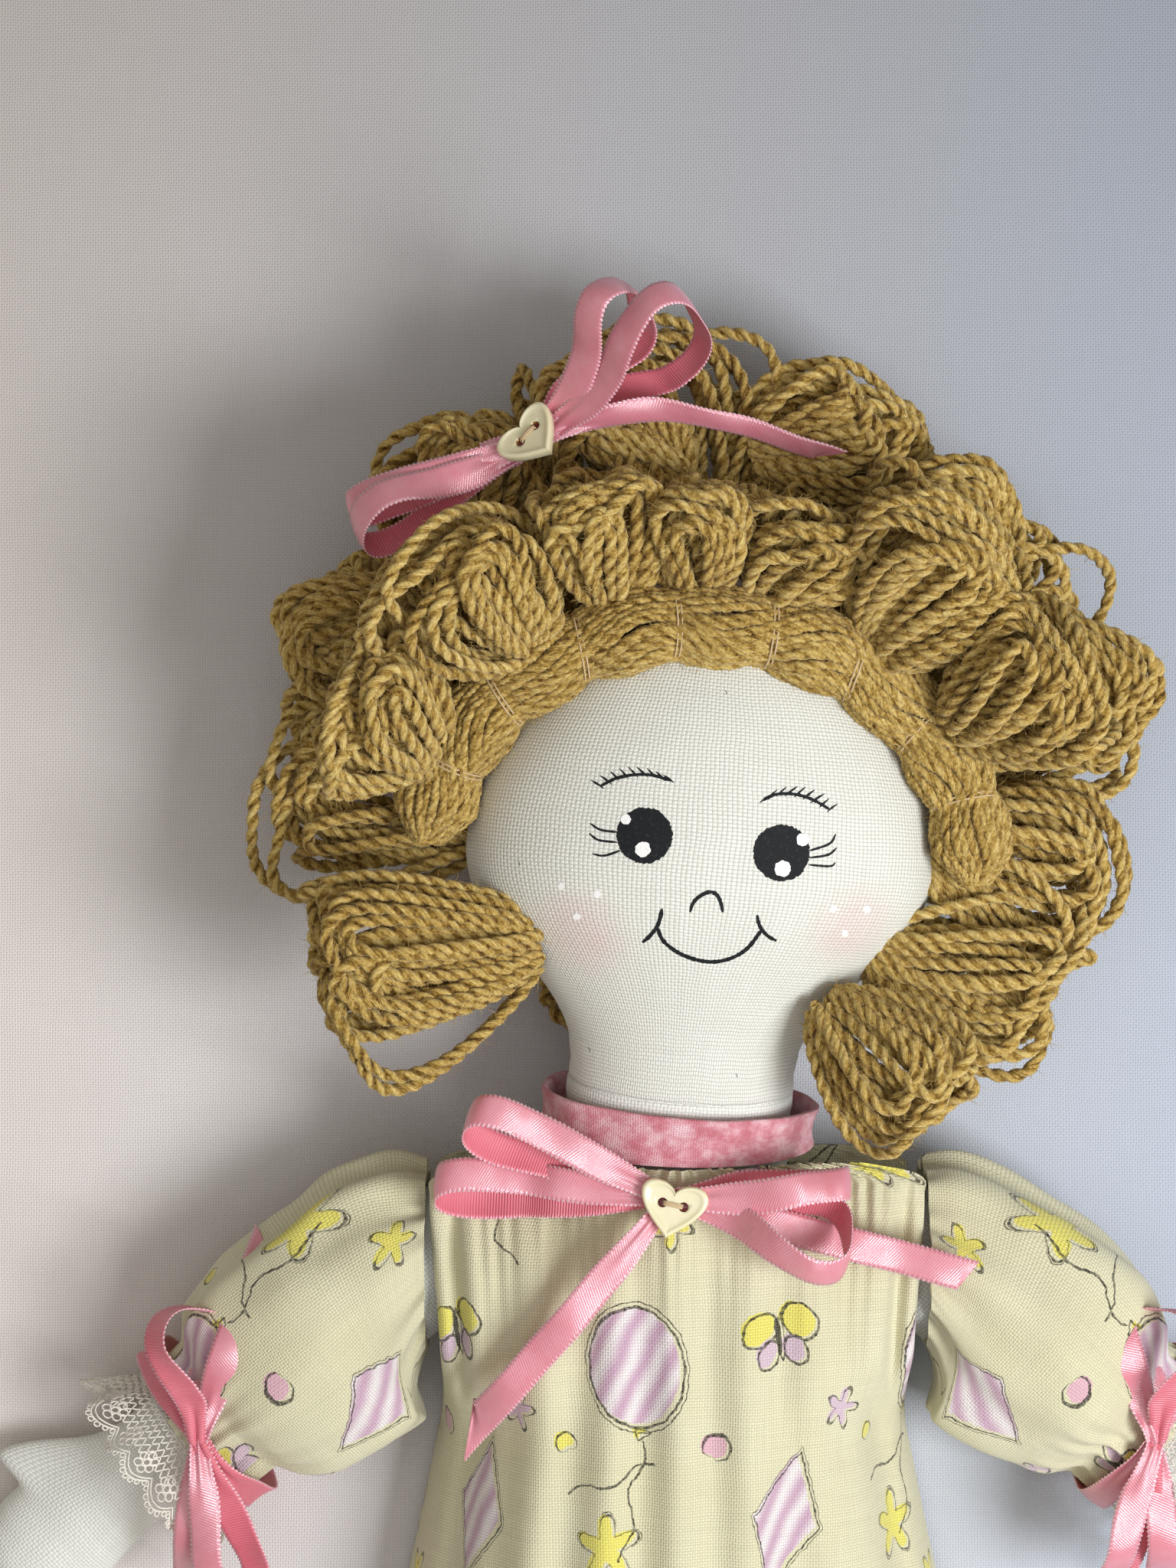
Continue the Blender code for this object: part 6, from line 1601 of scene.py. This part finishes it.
# The hanks behind the head lie flat under it, with their roots at its middle.
BACK_HANKS = ("right", "top_right", "top_left", "left", "low_left", "low_right")
for number, name in enumerate(("middle",) + BACK_HANKS):
    way, aside = flat_directions(60 * (number - 1))
    out = 0 if name == "middle" else 29 * mm
    middle = HEAD_CENTRE * (1, 1, 0) + way * out + Z * 6 * mm
    paths = hank_paths(middle, way, aside, Z, (17 * mm, 15 * mm, 4.3 * mm), 60 + number)
    yarn_piece("back_hank_" + name, paths, *HANK_WOOL, 150, "curl_back_" + name, 60 + number)


# Hair roll: one thick hank along the hairline, that covers the hanks' roots. Its wool is combed
# softer, and double stitches of sewing thread pinch it into lobes.
ROLL_HALF = (8.6 * mm, 7.2 * mm)
ROLL_ARCH = (58.7 * mm, 50.2 * mm)
ROLL_LOBES = 9
ROLL_STRANDS = 30
FINE_YARN = 1.15 * mm


def roll_place(share):
    """Middle of the roll at share of its arch from the right, its way out, and its fullness."""
    angle = math.pi * share
    middle = HEAD_CENTRE + (ROLL_ARCH[0] * math.cos(angle), ROLL_ARCH[1] * math.sin(angle), 12.5 * mm)
    middle[2] += 15 * mm * math.sin(angle) ** 2
    out = np.array([math.cos(angle) / ROLL_ARCH[0], math.sin(angle) / ROLL_ARCH[1], 0])
    lobe = abs(math.sin(math.pi * ROLL_LOBES * share)) ** 0.6
    end = min(1, 0.5 + min(share, 1 - share) * 12)
    return middle, out / np.linalg.norm(out), (0.82 + 0.24 * lobe) * end


roll_paths = []
for layer, count in ((1.0, ROLL_STRANDS), (0.8, 16)):
    for k in range(count):
        begin = CIRCLE * k / count + draw.uniform(-0.04, 0.04)
        wave = draw.uniform(0, CIRCLE)
        path = []
        for share in np.linspace(0, 1, 90):
            middle, out, full = roll_place(share)
            angle = (begin + 6 * share + 0.3 * math.sin(CIRCLE * ROLL_LOBES / 2 * share + 0.4)
                     + 0.05 * math.sin(31 * share + wave))
            size = full * layer * (1 + 0.05 * math.sin(47 * share + wave * 2))
            path.append(middle + out * (ROLL_HALF[0] * size - FINE_YARN * layer) * math.cos(angle)
                        + Z * (ROLL_HALF[1] * size - FINE_YARN * layer) * math.sin(angle))
        roll_paths.append(np.array(path))
yarn_piece("hair_roll_yarn", roll_paths, FINE_YARN, 0.7, 0.5, 5500, "hair_roll", 41, 1.3 * mm)

stitch_paths = []
for number in range(1, ROLL_LOBES):
    middle, out, full = roll_place(number / ROLL_LOBES)
    along = np.cross(out, Z)
    angles = np.linspace(-0.35, math.pi + 0.35, 30)
    for lane in (-0.45 * mm, 0.45 * mm):
        loop = (middle + np.outer(np.cos(angles) * (ROLL_HALF[0] * full + 0.25 * mm), out)
                + np.outer(np.sin(angles) * (ROLL_HALF[1] * full + 0.3 * mm), Z)
                + np.outer(lane + 1.4 * mm * np.cos(angles + number), along))
        stitch_paths.append(along_curve(loop, 0.4 * mm))
stitches = piece("roll_stitches", *cords(stitch_paths, THREAD_RADIUS, 6), sewing_thread)
stitches.data.transform(TILTED)
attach(stitches, "head")


# Hair bow: the same ribbon, laid level and stitched through a heart button on the hanks above the
# left temple.
HAIR_KNOT = HEAD_CENTRE + np.array([-42.9, 86.9, 12.6]) * mm
hair_ribbon = bow("hair_ribbon", HAIR_KNOT, lambda spot: HAIR_KNOT[2],
                  ((58, 37 * mm, -30, 32 * mm, 2 * mm), (213, 43 * mm, 34, 16 * mm, 0),
                   (41, 43 * mm, -34, 34 * mm, 2 * mm), (206, 42 * mm, 20, 9 * mm, 0)),
                  ((203, 15 * mm, 0, 0), (34, 57 * mm, -38 * mm, 1.2)),
                  "head", "hair_bow", (4 * mm, -10 * mm))
hair_ribbon.data.transform(TILTED)
heart_button("hair_button", button_place("hair_button", 48.5, -33), "head")


# Surface and light: a fine pale woven cloth spread on the table, with a large soft lamp high on
# the right, so the doll's shadow falls to the left, and a pale room all round. Light and shade
# are also painted into the cloth: lighter and warmer to the left, darker towards the top.
def cloth_with_painted_light(look, place):
    """A pale grey cloth with painted light and shade: lighter and warmer to the left, and darker
    towards the top, where the lamp's light falls off.
    """
    spot = add(look, "TexCoord").outputs["Object"]
    apart = add(look, "SeparateXYZ", {0: spot})
    # Painted light: the cloth is lighter and warmer on the left, cooler and darker on the right.
    across = add(look, "MapRange", {0: apart.outputs[0], 1: -0.2, 2: 0.15, 3: 0.0, 4: 1.0})
    mixed = add(look, "Mix", {0: across, 6: linear("F5EBE0"), 7: linear("BAC6D6")}, data_type="RGBA")
    # Painted shade: the cloth darkens towards the top, as the lamp's light falls off.
    painted_falloff_to_top = add(look, "MapRange", {0: apart.outputs[1], 1: 0.1, 2: 0.34, 3: 1.0, 4: 0.64})
    return add(look, "VectorMath", {0: mixed.outputs[2], "Scale": painted_falloff_to_top}, operation="SCALE")


TABLE_THREAD = 0.62 * mm
table_rows = [[(x, y, 0) for x in (-6, 6)] for y in (-6, 6)]
table_look = woven_cotton("pale_table_cloth", TABLE_THREAD, "9A9BA0", 0.4, cloth_with_painted_light, uneven=0.015)
table = skin("table_cloth", table_rows, table_look, around=False, ends=False)


def lamp(name, place, aim, size, power, colour):
    made = bpy.data.objects.new(name, bpy.data.lights.new(name, "AREA"))
    bpy.context.scene.collection.objects.link(made)
    made.location = place
    made.rotation_euler = (Vector(aim) - Vector(place)).to_track_quat("-Z", "Y").to_euler()
    made.data.size = size
    made.data.energy = power
    made.data.color = linear(colour)[:3]


lamp("window", (0.55, -0.15, 0.85), (0, 0.05, 0), 0.4, 9.4, "FAFBFF")
lamp("ceiling", (-0.1, 0.0, 1.5), (0, 0.05, 0), 1.2, 5.0, "F6F6FF")
room = bpy.data.worlds.new("room")
bpy.context.scene.world = room
room.use_nodes = True
room.node_tree.nodes["Background"].inputs["Color"].default_value = linear("E2D9CC")
room.node_tree.nodes["Background"].inputs["Strength"].default_value = 0.36
bpy.context.scene.view_settings.view_transform = "Standard"
